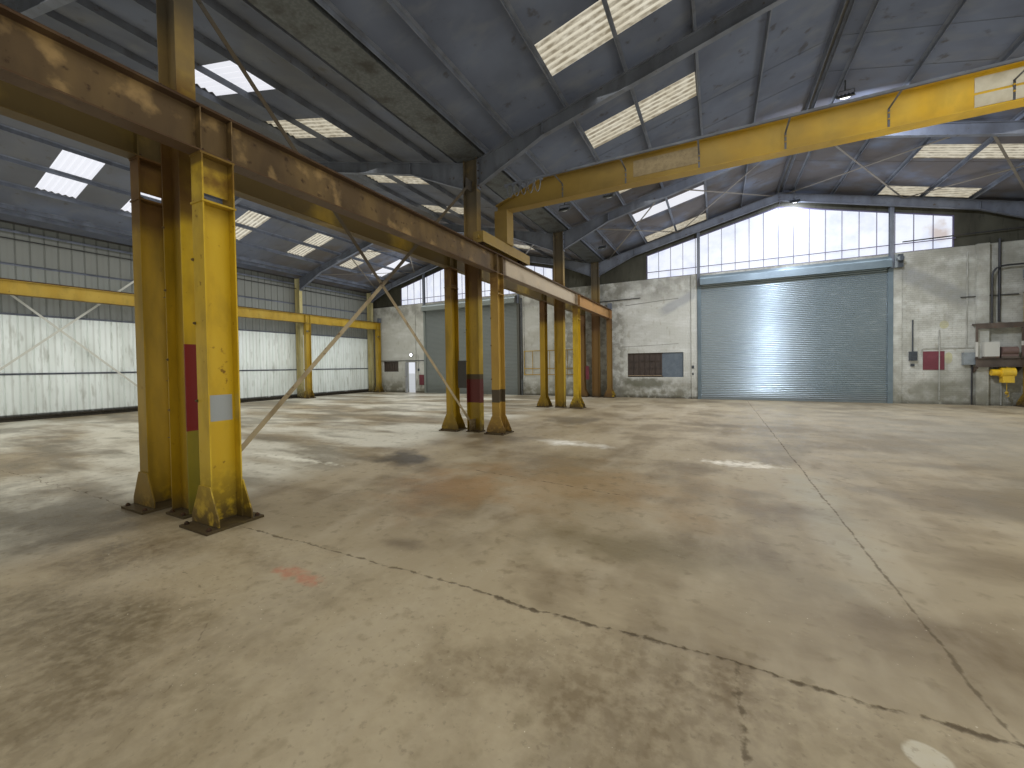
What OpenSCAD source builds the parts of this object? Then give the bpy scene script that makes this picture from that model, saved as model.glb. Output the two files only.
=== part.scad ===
// Twin-bay steel-framed factory shed: two parallel pitched roofs meet at a valley over a row of
// stanchions, with crane runways on both sides of each bay and one travelling crane.
// X runs across the two bays, Y along them towards the far gable, Z up from the ground.
// The origin is at ground level under the middle of the valley.

/* [Plan] */
// Span of each roof, from the valley line to the outer stanchion line
bay_span = 15240; // [12200:10:18000]
// Distance between frames
frame_pitch = 6096; // [5500:1:6400]
// Distance from the gable wall's inner face to the first inner frame
end_bay = 5450; // [4800:10:6096]
// Thickness of the gable walls
wall_t = 230; // [150:5:350]
// Thickness of the concrete floor slab
floor_t = 200; // [120:5:300]

/* [Roof] */
// Height of the roof sheets' underside above the floor, at the valley and the eaves
eaves_h = 6700; // [6400:10:7600]
// Slope of the roof in degrees
roof_pitch = 14; // [10:0.5:20]
// Distance between waves of the roof sheets
wave_pitch = 152; // [120:1:200]
// Height of a wave of the roof sheets
wave_h = 48; // [30:1:60]
// Thickness of the roof sheets
sheet_t = 8; // [5:0.5:12]
// Depth of a purlin
purlin_d = 127; // [90:1:200]
// Width of a purlin
purlin_b = 76; // [50:1:100]
// Thickness of the purlins' steel
purlin_t = 9; // [5:0.5:12]
// Level distance between purlins
purlin_gap = 1275; // [1000:5:1400]
// Level distance from the valley line to the first full purlin
inner_first = 1120; // [900:5:1200]
// Level distance from the outer stanchion line to the first full purlin
outer_first = 760; // [600:5:1200]
// Width of a rooflight along the building
light_w = 930; // [700:10:1200]

/* [Frames] */
// Depth of a main stanchion
post_d = 381; // [300:1:460]
// Flange width of a main stanchion
post_b = 178; // [120:1:200]
// Depth of a rafter
rafter_d = 305; // [250:1:360]
// Flange width of a rafter
rafter_b = 127; // [100:1:165]
// Length of a haunch along the floor
haunch_l = 1700; // [1200:10:2200]
// Depth that a haunch adds under the rafter
haunch_d = 330; // [200:5:400]
// Flange thickness of the main frames
frame_tf = 16; // [10:1:22]
// Web thickness of the main frames
frame_tw = 10; // [7:1:14]

/* [Crane columns and runways] */
// Distance from a stanchion line to the crane column beside it
crane_off = 665; // [600:5:760]
// Depth of a crane column
col_d = 305; // [250:1:320]
// Flange width of a crane column
col_b = 203; // [150:1:210]
// Height of the top of the right bay's runway beams above the floor
right_runway_h = 4270; // [4000:10:4500]
// Height of the top of the left bay's runway beams above the floor
left_runway_h = 4550; // [4300:10:4700]
// Depth of a runway beam
beam_d = 457; // [380:1:500]
// Flange width of a runway beam
beam_b = 190; // [150:1:200]
// Height of the crane rail
rail_h = 50; // [38:1:65]
// Width of the crane rail
rail_w = 50; // [38:1:65]

/* [Gables] */
// Height of the masonry gable walls above the floor
sill_h = 5600; // [5400:10:5700]
// Width of the glazing in each gable
glazing_w = 10500; // [9000:10:11500]
// Number of panes in each gable
pane_count = 20; // [12:1:24]
// Depth between the roof's underside and the top of the gable glazing
glazing_drop = 540; // [450:5:700]
// Width of a vehicle doorway
shutter_w = 6450; // [5000:10:7000]
// Height of a vehicle doorway
shutter_h = 5040; // [4200:10:5100]
// Distance from the middle of the right bay to the middle of its far doorway
far_shutter_off = 250; // [0:10:400]
// Distance between the slats of a roller shutter
slat_pitch = 112; // [70:1:140]
// Width of the personnel doorway
door_w = 762; // [700:1:926]
// Height of the personnel doorway
door_h = 1981; // [1900:1:2100]
// Distance between the personnel doorway and the pier of the left bay's doorway
door_gap = 508; // [250:1:700]
// Angle at which the door leaf stands open
door_open = 62; // [30:1:80]

/* [Crane] */
// Place of the crane along the building
crane_y = 6500; // [-9000:10:9000]
// Height of the girder's underside above the floor
girder_h = 5400; // [5100:10:5420]
// Depth of the girder
girder_d = 590; // [450:5:600]
// Distance from the girder's web to the cable track in front of it
track_out = 620; // [400:10:800]
// Width of the girder's flanges
girder_b = 260; // [180:5:320]
// Length of an end carriage
carriage_l = 2600; // [1800:10:3000]
// Diameter of the crane wheels
wheel_d = 200; // [160:5:220]
// Space between moving and fixed pieces
clear = 6; // [5:0.5:10]

/* [Hidden] */

frame_count = 7;
mid_frame = (frame_count - 1) / 2;
inner_half = 2 * frame_pitch + end_bay;
outer_half = inner_half + wall_t;
gable_frame_in = 300;
verge = 110;
roof_half = outer_half + verge;
t_pitch = tan(roof_pitch);
c_pitch = cos(roof_pitch);
half_span = bay_span / 2;
apex_h = eaves_h + half_span * t_pitch;
rafter_top_drop = purlin_d / c_pitch;
base_t = 25;
gusset_t = 14;
yellow = "goldenrod";

// Each runway's place across the building, and its height above the floor
runway_lines = [[-bay_span + crane_off, left_runway_h], [-crane_off, left_runway_h],
    [crane_off, right_runway_h], [bay_span - crane_off, right_runway_h]];

// Place of each frame along the building
function frame_y(i) =
    i == 0 ? -inner_half + gable_frame_in :
    i == frame_count - 1 ? inner_half - gable_frame_in :
    (i - mid_frame) * frame_pitch;

// Height of the roof sheets' underside at a level distance from the valley or the eaves
function roof_z(x) = floor_t + eaves_h + min(x, bay_span - x) * t_pitch;

// Outline of an I section, d deep along X and b wide along Y
function i_points(d, b, tf, tw) = [
    [-d / 2, -b / 2], [-d / 2 + tf, -b / 2], [-d / 2 + tf, -tw / 2], [d / 2 - tf, -tw / 2],
    [d / 2 - tf, -b / 2], [d / 2, -b / 2], [d / 2, b / 2], [d / 2 - tf, b / 2],
    [d / 2 - tf, tw / 2], [-d / 2 + tf, tw / 2], [-d / 2 + tf, b / 2], [-d / 2, b / 2]
];

module plate_xz(points, t, y = 0) {
    translate([0, y + t / 2, 0]) rotate([90, 0, 0]) linear_extrude(t) polygon(points);
}

module plate_yz(points, t, x = 0) {
    translate([x - t / 2, 0, 0]) rotate([90, 0, 90]) linear_extrude(t) polygon(points);
}

module block(x0, x1, y0, y1, z0, z1) {
    translate([x0, y0, z0]) cube([x1 - x0, y1 - y0, z1 - z0]);
}

// A slope of one side's roof, given as rising from the line x = 0: from the valley, or from the eaves
module inner_slope(side) { mirror([side < 0 ? 1 : 0, 0, 0]) children(); }
module outer_slope(side) { translate([side * bay_span, 0, 0]) mirror([side > 0 ? 1 : 0, 0, 0]) children(); }
module at_inner_slopes() { for (side = [-1, 1]) inner_slope(side) children(); }
module at_outer_slopes() { for (side = [-1, 1]) outer_slope(side) children(); }

// A beam along Y with its web upright
module beam_y(x, y0, y1, top, d, b, tf, tw) {
    translate([x, y1, top - d / 2]) rotate([90, 0, 0]) linear_extrude(y1 - y0)
        rotate(90) polygon(i_points(d, b, tf, tw));
}

// Ground and floor
module floor_slab() {
    color("darkgray")
        block(-bay_span - wall_out, bay_span + wall_out, -outer_half, outer_half, 0, floor_t);
}

// Side walls: ribbed sheeting on rails
rail_out = post_d / 2;
rail_t = 80;
rail_steel_t = 8;
rail_lip = 60;
rail_heights = [115, 1600, 3600, 5250, 6350];
wall_in = rail_out + rail_t;
rib_pitch = 333;
rib_h = 30;
rib_flat = 0.82;
wall_sheet_t = 5;
wall_out = wall_in + rib_h + wall_sheet_t;
wall_top = eaves_h - wall_out * t_pitch - 20;
plinth_h = 150;

// Outline of n ribs of sheeting along X, standing on the line y = 0
function rib_points(n, p, h, t) = let(crest = (1 + rib_flat) / 2) concat(
    [for (i = [0:n - 1]) each [[i * p, 0], [(i + rib_flat) * p, 0], [(i + crest) * p, h]]],
    [[n * p, 0], [n * p, t]],
    [for (i = [n - 1:-1:0]) each [[(i + crest) * p, h + t], [(i + rib_flat) * p, t], [i * p, t]]]
);

module wall_sheets() {
    n = floor(2 * outer_half / rib_pitch);
    color("whitesmoke") for (side = [-1, 1])
        translate([side * (bay_span + wall_in), -outer_half, floor_t + plinth_h])
            mirror([side < 0 ? 1 : 0, 0, 0])
            linear_extrude(wall_top - plinth_h)
            mirror([1, 0]) rotate(90)
            polygon(rib_points(n, 2 * outer_half / n, rib_h, wall_sheet_t));
}

module wall_rails() {
    color("dimgray") for (side = [-1, 1], h = rail_heights)
        translate([side * (bay_span + rail_out), 0, floor_t + h]) mirror([side < 0 ? 1 : 0, 0, 0]) {
            block(0, rail_t, -inner_half, inner_half, -rail_steel_t / 2, rail_steel_t / 2);
            block(rail_t - rail_steel_t, rail_t, -inner_half, inner_half, -rail_lip, -rail_steel_t / 2);
        }
}

// Gable walls
gable_x = bay_span + wall_in;
guide_w = 90;
window_w = 2500;
window_gap = 590;
window_x = half_span + far_shutter_off - shutter_w / 2 - guide_w - window_gap - window_w;
window_z = 985;
window_h = 1150;
window_share = 0.62;
corner_w = 1290;
corner_gap = 670;
corner_z = 1340;
corner_h = 670;
pier_w = 250;
pier_d = 60;
post_edge = 95;
door_x = -half_span - shutter_w / 2 - post_edge - pier_w - door_gap - door_w;
corner_x = door_x - corner_gap - corner_w;
stub_pier_in = 1720;
stub_pier_w = 300;
stub_pier_d = 150;

// Middle of the doorway of one bay in one gable
function shutter_x(end, side) = side * half_span + (end > 0 && side > 0 ? far_shutter_off : 0);

module shutter_hole(cx) {
    block(cx - shutter_w / 2, cx + shutter_w / 2, -pier_d - 1, wall_t + 1, -1, shutter_h);
}

// Masonry piers on the inner face at both sides of a doorway
module piers(cx, y0, y1) {
    for (s = [-1, 1]) translate([cx, 0, 0]) mirror([s < 0 ? 1 : 0, 0, 0])
        block(shutter_w / 2 + post_edge, shutter_w / 2 + post_edge + pier_w, y0, y1, 0, sill_h);
}

module far_wall_main() {
    color("ivory") translate([0, inner_half, floor_t]) {
        difference() {
            block(door_x + door_w, gable_x, 0, wall_t, 0, sill_h);
            for (side = [-1, 1]) shutter_hole(shutter_x(1, side));
            block(window_x, window_x + window_w, -1, wall_t + 1, window_z, window_z + window_h);
        }
        for (side = [-1, 1]) piers(shutter_x(1, side), -pier_d, 0);
        block(bay_span - stub_pier_in - stub_pier_w / 2, bay_span - stub_pier_in + stub_pier_w / 2,
            -stub_pier_d, 0, 0, sill_h);
    }
}
module far_wall_corner() {
    color("ivory") translate([0, inner_half, floor_t]) difference() {
        block(-gable_x, door_x, 0, wall_t, 0, sill_h);
        block(corner_x, corner_x + corner_w, -1, wall_t + 1, corner_z, corner_z + corner_h);
    }
}
module far_wall_over_door() {
    color("ivory") translate([0, inner_half, floor_t])
        block(door_x, door_x + door_w, 0, wall_t, door_h, sill_h);
}
module front_wall() {
    color("ivory") translate([0, -outer_half, floor_t]) {
        difference() {
            block(-gable_x, gable_x, 0, wall_t, 0, sill_h);
            for (side = [-1, 1]) shutter_hole(shutter_x(-1, side));
        }
        for (side = [-1, 1]) piers(shutter_x(-1, side), wall_t, wall_t + pier_d);
    }
}

// Gable glazing and the cladding round it
glass_t = 8;
bar_w = 40;
bar_d = 60;
glaze_y = inner_half + wall_t / 2;
clad_t = 40;
clad_gap = 10;

function glass_top(u) = floor_t + apex_h - glazing_drop - abs(u) * t_pitch;

// Outline of one gable's glazing about its middle, pulled in by m
function glazing_points(m) = let(w = glazing_w / 2 - m, lift = m / c_pitch) [
    [-w, floor_t + sill_h + m], [w, floor_t + sill_h + m],
    [w, glass_top(w) - lift], [0, glass_top(0) - lift], [-w, glass_top(w) - lift]];

module at_gables() {
    for (end = [-1, 1], side = [-1, 1])
        translate([side * half_span, 0, 0]) mirror([0, end < 0 ? 1 : 0, 0]) children();
}

// The two bays' cladding meets at the valley with a small joint, under the valley gutter
module gable_cladding() {
    joint = 1;
    inner = gutter_half + 5;
    sill = floor_t + sill_h;
    color("slategray") for (end = [-1, 1], side = [-1, 1])
        mirror([side < 0 ? 1 : 0, 0, 0]) mirror([0, end < 0 ? 1 : 0, 0]) difference() {
            plate_xz([[joint, sill], [gable_x, sill], [gable_x, roof_z(gable_x) - clad_gap],
                [half_span, roof_z(half_span) - clad_gap], [inner, roof_z(inner) - clad_gap],
                [inner, gutter_z - clad_gap], [joint, gutter_z - clad_gap]],
                clad_t, glaze_y);
            translate([half_span, 0, 0]) plate_xz(glazing_points(0), clad_t + 2, glaze_y);
        }
}

// A frame round the glass, and upright bars on its inner face
module gable_glazing_bars() {
    pane_w = (glazing_w - bar_w) / pane_count;
    color("gainsboro") at_gables() union() {
        difference() {
            plate_xz(glazing_points(0), bar_d, glaze_y);
            plate_xz(glazing_points(bar_w), bar_d + 2, glaze_y);
        }
        for (i = [1:pane_count - 1]) let(x = -glazing_w / 2 + bar_w / 2 + i * pane_w)
            block(x - bar_w / 4, x + bar_w / 4, glaze_y - bar_d / 2, glaze_y - glass_t / 2,
                floor_t + sill_h + bar_w / 2, glass_top(abs(x) + bar_w / 4) - bar_w / 2);
    }
}

module gable_glass() {
    color([0.8, 0.9, 1, 0.4]) at_gables() plate_xz(glazing_points(bar_w), glass_t, glaze_y);
}

// Personnel door
frame_w = 50;
leaf_t = 40;
leaf_gap = 10;
leaf_h = door_h - frame_w - leaf_gap - clear;
hinge_off = 14;
knuckle_r = 7;
knuckle_h = 100;
knuckle_end = 200;
latch_gap = 10;
leaf_w = door_w - 2 * frame_w - clear - latch_gap;
hinge_x = door_x + frame_w + clear;
hinge_y = inner_half - hinge_off;
frame_d = 100;

module door_frame() {
    color("brown") translate([door_x, inner_half, floor_t]) difference() {
        block(0, door_w, 0, frame_d, 0, door_h);
        block(frame_w, door_w - frame_w, -1, frame_d + 1, -1, door_h - frame_w);
    }
}
module door_leaf() {
    color("saddlebrown") translate([hinge_x, hinge_y, floor_t + leaf_gap]) rotate(-door_open) {
        block(0, leaf_w, hinge_off, hinge_off + leaf_t, 0, leaf_h);
        for (z = [knuckle_end, leaf_h / 2, leaf_h - knuckle_end]) translate([0, 0, z - knuckle_h / 2]) {
            cylinder(r = knuckle_r, h = knuckle_h, $fn = 32);
            block(0, knuckle_r, 0, hinge_off, 0, knuckle_h);
        }
    }
}

// Steel windows in the middle of the wall: a frame, a mullion at a share of the width, and a pane
// or a blind panel on either side of it
window_in = 60;
window_bar = 50;
window_d = 70;
module steel_window(x, w, z, h, share) {
    lights = [[window_bar, share * w - window_bar / 2], [share * w + window_bar / 2, w - window_bar]];
    top = h - window_bar;
    translate([x, inner_half + window_in, floor_t + z]) {
        difference() {
            block(0, w, 0, window_d, 0, h);
            for (a = lights) block(a[0], a[1], -1, window_d + 1, window_bar, top);
        }
        for (a = lights) block(a[0], a[1], window_d / 2, window_d / 2 + glass_t, window_bar, top);
    }
}
module far_windows() {
    color("darkslategray") {
        steel_window(window_x, window_w, window_z, window_h, window_share);
        steel_window(corner_x, corner_w, corner_z, corner_h, 0.5);
    }
}

// Roller shutters, hanging in front of the wall
curtain_in = 60;
curtain_edge = 10;
slat_d = 14;
slat_t = 3;
slat_turn = 0.3;
curtain_t = slat_d + slat_t;

module at_shutters() {
    for (end = [-1, 1], side = [-1, 1]) translate([shutter_x(end, side), end * inner_half, floor_t])
        mirror([0, end < 0 ? 1 : 0, 0]) children();
}

// Outline of n slats, in the plane across the doorway
function slat_points(n) = concat(
    [for (i = [0:n - 1]) each [
        [0, i * slat_pitch],
        [slat_d, (i + slat_turn) * slat_pitch],
        [slat_d, (i + 1 - slat_turn) * slat_pitch]]],
    [[0, n * slat_pitch], [slat_t, n * slat_pitch]],
    [for (i = [n - 1:-1:0]) each [
        [curtain_t, (i + 1 - slat_turn) * slat_pitch],
        [curtain_t, (i + slat_turn) * slat_pitch],
        [slat_t, i * slat_pitch]]]
);

module shutter_curtains() {
    n = floor(shutter_h / slat_pitch);
    color("lightslategray") at_shutters()
        translate([-shutter_w / 2 + curtain_edge, -curtain_in, 0])
        rotate([90, 0, 90]) linear_extrude(shutter_w - 2 * curtain_edge) polygon(slat_points(n));
}

// Folded guides, hollow, each with a slot that holds the curtain's edge
guide_in = 60;
guide_t = 6;
guide_d = 110;
slot_gap = 4;
module shutter_guides() {
    color("slategray") at_shutters() for (side = [-1, 1])
        translate([side * shutter_w / 2, 0, 0]) mirror([side > 0 ? 1 : 0, 0, 0]) difference() {
            block(-guide_w, guide_in, -guide_d, 0, 0, shutter_h);
            block(guide_t - guide_w, guide_in - guide_t, guide_t - guide_d, -guide_t, -1, shutter_h + 1);
            block(0, guide_in + 1, -curtain_in - slot_gap, -curtain_in + curtain_t + slot_gap,
                -1, shutter_h + 1);
        }
}

// Folded hoods with a sloping front, open below for the curtain
hood_d = 420;
hood_t = 3;
hood_gap = 30;
hood_lift = 2;
hood_slope = 160;

// Outline of a hood from its front to the wall, pulled in by m
function hood_points(m) = [[-m, 0], [m - hood_d, 0], [m - hood_d, hood_d - hood_slope - m / 2],
    [hood_slope - hood_d + m / 2, hood_d - m], [-m, hood_d - m]];

module shutter_hoods() {
    w = shutter_w - 2 * hood_gap;
    color("lightsteelblue") at_shutters()
        translate([-w / 2, 0, shutter_h + hood_lift]) rotate([90, 0, 90]) {
            linear_extrude(w) difference() {
                polygon(hood_points(0));
                translate([0, -1]) polygon(hood_points(hood_t));
                polygon(hood_points(hood_t));
            }
            for (z = [0, w - hood_t]) translate([0, 0, z]) linear_extrude(hood_t) polygon(hood_points(0));
        }
}

// Posts beside the hoods, from the guides' tops up past the glazing to a plate on the gable rafters
gable_post_b = 120;
gable_post_d = 150;
gable_post_tf = 10;
gable_post_tw = 8;
gable_plate_t = 12;
module gable_posts() {
    foot = floor_t + shutter_h;
    half = gable_post_b / 2;
    color("dimgray") for (end = [-1, 1], side = [-1, 1], s = [-1, 1]) {
        x = shutter_x(end, side) + s * (shutter_w / 2 + post_edge - half);
        top = roof_z(abs(x)) - rafter_top_drop - 5 * gable_plate_t;
        mirror([0, end < 0 ? 1 : 0, 0]) {
            translate([x, inner_half - gable_post_d / 2, foot]) linear_extrude(top - foot)
                rotate(90) polygon(i_points(gable_post_d, gable_post_b, gable_post_tf, gable_post_tw));
            block(x - half, x + half, inner_half - gable_frame_in + frame_tw / 2,
                inner_half - gable_post_d, top - 2 * gable_plate_t, top - gable_plate_t);
        }
    }
}

// Main stanchions. The valley row carries the gutter on its heads, and brackets tie every
// stanchion to the top flanges of the runway beams beside it.
gutter_t = 4;
gutter_d = 130;
gutter_half = 360;
gutter_rest = 4;
gutter_z = roof_z(gutter_half) - rafter_top_drop + gutter_rest;
wall_head = floor_t + eaves_h - rail_out * t_pitch - 50;
post_base_side = 60;
bracket_w = 160;
bracket_t = 12;
bracket_d = 130;

module main_post(x, y, head) {
    translate([x, y, 0]) {
        translate([0, 0, floor_t + base_t]) linear_extrude(head - floor_t - base_t)
            polygon(i_points(post_d, post_b, frame_tf, frame_tw));
        block(-post_d / 2, post_d / 2, -post_b / 2 - post_base_side, post_b / 2 + post_base_side,
            floor_t, floor_t + base_t);
    }
}

// From the flange of the stanchion at x towards +X or -X
module bracket(x, y, way, runway_h) {
    reach = crane_off - beam_b / 2;
    top = floor_t + runway_h;
    translate([x, y, 0]) mirror([way < 0 ? 1 : 0, 0, 0]) {
        block(rail_out, reach, -bracket_w / 2, bracket_w / 2, top - bracket_t, top);
        plate_xz([[rail_out, top - bracket_d], [rail_out + 60, top - bracket_d], [reach, top - 2 * bracket_t],
            [reach, top - bracket_t], [rail_out, top - bracket_t]], bracket_t);
    }
}
module valley_posts() {
    color(yellow) for (i = [0:frame_count - 1]) {
        main_post(0, frame_y(i), gutter_z);
        bracket(0, frame_y(i), -1, left_runway_h);
        bracket(0, frame_y(i), 1, right_runway_h);
    }
}
module wall_posts() {
    color("khaki") for (i = [0:frame_count - 1]) {
        for (side = [-1, 1]) main_post(side * bay_span, frame_y(i), wall_head);
        bracket(-bay_span, frame_y(i), 1, left_runway_h);
        bracket(bay_span, frame_y(i), -1, right_runway_h);
    }
}

// Crane columns with flared feet
gusset_w = 500;
gusset_h = 400;
gusset_edge = 80;
foot_l = 560;
foot_w = 520;
col_tf = 14;
col_tw = 9;
seat_t = 20;
slot_h = 100;
splice_h = 480;

module crane_column(x, y, runway_h) {
    top = floor_t + runway_h - beam_d;
    splice = top - splice_h;
    hw = gusset_w / 2;
    translate([x, y, 0]) {
        difference() {
            translate([0, 0, floor_t + base_t]) linear_extrude(top - seat_t - floor_t - base_t)
                rotate(90) polygon(i_points(col_d, col_b, col_tf, col_tw));
            block(-col_tw, col_tw, -col_d / 2 + col_tf, col_d / 2 - col_tf, splice, splice + slot_h);
        }
        block(-col_b / 2 - 10, col_b / 2 + 10, -col_d / 2 - 10, col_d / 2 + 10, splice - seat_t, splice);
        block(-col_b / 2, col_b / 2, -col_d / 2 - 10, col_d / 2 + 10, top - seat_t, top);
        block(-foot_w / 2, foot_w / 2, -foot_l / 2, foot_l / 2, floor_t, floor_t + base_t);
        translate([0, 0, floor_t + base_t]) for (s = [-1, 1])
            plate_xz([[-hw, 0], [hw, 0], [hw, gusset_edge], [col_b / 2, gusset_h],
                [-col_b / 2, gusset_h], [-hw, gusset_edge]], gusset_t, s * (col_d + gusset_t) / 2);
    }
}
module valley_crane_columns() {
    color(yellow) for (i = [0:frame_count - 1]) {
        crane_column(-crane_off, frame_y(i), left_runway_h);
        crane_column(crane_off, frame_y(i), right_runway_h);
    }
}
module wall_crane_columns() {
    color(yellow) for (i = [0:frame_count - 1]) {
        crane_column(-bay_span + crane_off, frame_y(i), left_runway_h);
        crane_column(bay_span - crane_off, frame_y(i), right_runway_h);
    }
}

// Runway beams with a pair of stiffeners over each column's flanges
beam_tf = 16;
beam_tw = 10;
stiffener_t = 12;
stiffener_in = 1;
runway_half = inner_half - 80;

module runway(line) {
    top = floor_t + line[1];
    beam_y(line[0], -runway_half, runway_half, top, beam_d, beam_b, beam_tf, beam_tw);
    translate([line[0], 0, 0]) for (i = [0:frame_count - 1], s = [-1, 1], way = [0, 1])
        let(y = frame_y(i) + s * (col_d - col_tf) / 2)
            if (abs(y) < runway_half - stiffener_t) mirror([way, 0, 0])
                block(beam_tw / 2 - stiffener_in, beam_b / 2, y - stiffener_t / 2, y + stiffener_t / 2,
                    top - beam_d + beam_tf - stiffener_in, top - beam_tf + stiffener_in);
}
module left_bay_runways() { color(yellow) for (i = [0, 1]) runway(runway_lines[i]); }
module right_bay_runways() { color(yellow) for (i = [2, 3]) runway(runway_lines[i]); }

module crane_rails() {
    color("sienna") for (line = runway_lines)
        block(line[0] - rail_w / 2, line[0] + rail_w / 2, -runway_half, runway_half,
            floor_t + line[1], floor_t + line[1] + rail_h);
}

stop_l = 160;
stop_h = 330;
module runway_stops() {
    color("dimgray") for (line = runway_lines, way = [0, 1]) mirror([0, way, 0])
        block(line[0] - beam_b / 2, line[0] + beam_b / 2, runway_half - stop_l, runway_half,
            floor_t + line[1] + rail_h, floor_t + line[1] + stop_h);
}

// Rafters: web and two flanges, with a haunch at the stanchion and a plate at the ridge
end_plate_t = 20;
end_plate_over = 60;
plate_side = 15;
apex_plate_t = 16;
apex_plate_over = 110;
apex_gap = 1;
module half_rafter() {
    x0 = post_d / 2;
    x1 = half_span - apex_gap / 2;
    top0 = roof_z(x0) - rafter_top_drop;
    top1 = roof_z(x1) - rafter_top_drop;
    d = rafter_d / c_pitch;
    tf = frame_tf / c_pitch;
    xh = x0 + haunch_l;
    toph = roof_z(xh) - rafter_top_drop;
    side = rafter_b / 2;
    plate_xz([[x0, top0 - tf], [x1, top1 - tf], [x1, top1 - d + tf], [xh, toph - d + tf],
        [x0, top0 - d - haunch_d + tf]], frame_tw);
    plate_xz([[x0, top0 - tf], [x1, top1 - tf], [x1, top1], [x0, top0]], rafter_b);
    plate_xz([[x0, top0 - d - haunch_d], [xh, toph - d], [x1, top1 - d], [x1, top1 - d + tf],
        [xh, toph - d + tf], [x0, top0 - d - haunch_d + tf]], rafter_b);
    block(x0, x0 + end_plate_t, -side - plate_side, side + plate_side,
        top0 - d - haunch_d - end_plate_over, top0 - tf);
    block(x1 - apex_plate_t, x1, -side - plate_side, side + plate_side,
        top1 - d - apex_plate_over, top1 - tf);
    block(xh - stiffener_t / 2, xh + stiffener_t / 2, -side, side, toph - d, toph - tf);
}
module rafters() {
    color("dimgray") for (i = [0:frame_count - 1]) translate([0, frame_y(i), 0]) {
        at_inner_slopes() half_rafter();
        at_outer_slopes() half_rafter();
    }
}

// Purlins: angles along the building, each standing on the rafters' top flanges
valley_purlin = gutter_half + 45;
ridge_purlin = 110;
function purlin_places(first) = concat([valley_purlin],
    [for (x = [first:purlin_gap:half_span - ridge_purlin - 2 * purlin_b]) x], [half_span - ridge_purlin]);

module slope_purlins(first) {
    for (x = purlin_places(first))
        on_slope(x) {
            block(0, purlin_t, -inner_half, inner_half, -purlin_d, 0);
            block(0, purlin_b, -inner_half, inner_half, -purlin_t, 0);
        }
}
module purlins() {
    color("gray") {
        at_inner_slopes() slope_purlins(inner_first);
        at_outer_slopes() slope_purlins(outer_first);
    }
}

// Roof sheets: waves across the slope, run from the gutter to the ridge, over flat lining boards.
// The rooflights span two purlin gaps and lap over the sheets, six on each half of a slope.
wave_n = round(2 * roof_half / wave_pitch);
wave_p = 2 * roof_half / wave_n;
sheet_v = sheet_t / cos(atan2(2 * wave_h, wave_p));
light_n = round(light_w / wave_p);
// Places of the rooflights' middles, as shares of the way from the middle frame to a gable
left_lights = [0.141, 0.251, 0.425, 0.597, 0.771, 0.898];
right_lights = [0.092, 0.269, 0.447, 0.624, 0.796, 0.969];
// Number of the wave at which each rooflight of a side begins
function light_waves(side) = [for (way = [-1, 1], q = side < 0 ? left_lights : right_lights)
    round((way * q * inner_half + roof_half - light_w / 2) / wave_p)];
light_edge = 60;
light_lap = 110;
lining_t = 6;
lining_lap = 12;
lining_in = 10;
seat_gap = 0.5;
sheet_lift = lining_t + 2 * seat_gap;
ridge_in = 30;
gutter_lap = 60;
eaves_over = wall_out + 60;

// Zigzag of a wavy sheet over n waves, standing on the line y = 0
function wave_points(n, p, h, t) = concat(
    [for (i = [0:n - 1]) each [[i * p, 0], [(i + 0.5) * p, h]]],
    [[n * p, 0], [n * p, t]],
    [for (i = [n - 1:-1:0]) each [[(i + 0.5) * p, h + t], [i * p, t]]]
);

// Puts what lies flat at a level distance x from the valley or the eaves onto the slope
module on_slope(x, y = 0) {
    translate([x, y, roof_z(x)]) rotate([0, -roof_pitch, 0]) children();
}

// Sheeting from level distance x0 to x1, over n waves from wave number first_wave on
module slope_sheet(x0, x1, first_wave, n, lift) {
    on_slope(x0, -roof_half + first_wave * wave_p) translate([0, 0, lift]) rotate([90, 0, 90])
        linear_extrude((x1 - x0) / c_pitch) polygon(wave_points(n, wave_p, wave_h, sheet_v));
}

// Openings for the rooflights, made smaller by m all round
module slope_light_cuts(first, waves, m) {
    x = first + purlin_gap + light_edge;
    length = (2 * purlin_gap - light_edge) / c_pitch;
    for (w = waves) on_slope(x, -roof_half + w * wave_p)
        block(m, length - m, m, light_n * wave_p - m, -wave_h, 2 * wave_h);
}

module slope_lining(x0, first, waves) {
    difference() {
        on_slope(x0) block(0, (half_span - ridge_in - x0) / c_pitch, -inner_half, inner_half,
            seat_gap, seat_gap + lining_t);
        slope_light_cuts(first, waves, lining_lap);
    }
}
module roof_linings() {
    color("slategray") for (side = [-1, 1]) {
        inner_slope(side) slope_lining(gutter_half + lining_in, inner_first, light_waves(side));
        outer_slope(side) slope_lining(2 * lining_in - wall_in, outer_first, light_waves(side));
    }
}

module slope(x0, first, waves) {
    difference() {
        slope_sheet(x0, half_span - ridge_in, 0, wave_n, sheet_lift);
        slope_light_cuts(first, waves, 0);
    }
}
module roof_sheets(side) {
    inner_slope(side) slope(gutter_half - gutter_lap, inner_first, light_waves(side));
    outer_slope(side) slope(-eaves_over, outer_first, light_waves(side));
}
module left_roof_sheets() { color("dimgray") roof_sheets(-1); }
module right_roof_sheets() { color("dimgray") roof_sheets(1); }

// Each light laps over the sheet by one wave on one side, and over both ends of its opening
module slope_lights(first, waves) {
    for (w = waves)
        slope_sheet(first + purlin_gap + light_edge - light_lap, first + 3 * purlin_gap + light_lap,
            w - 1, light_n + 1, sheet_lift + sheet_v + seat_gap);
}
module rooflights() {
    color([0.95, 0.93, 0.8]) for (side = [-1, 1]) {
        inner_slope(side) slope_lights(inner_first, light_waves(side));
        outer_slope(side) slope_lights(outer_first, light_waves(side));
    }
}

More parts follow.
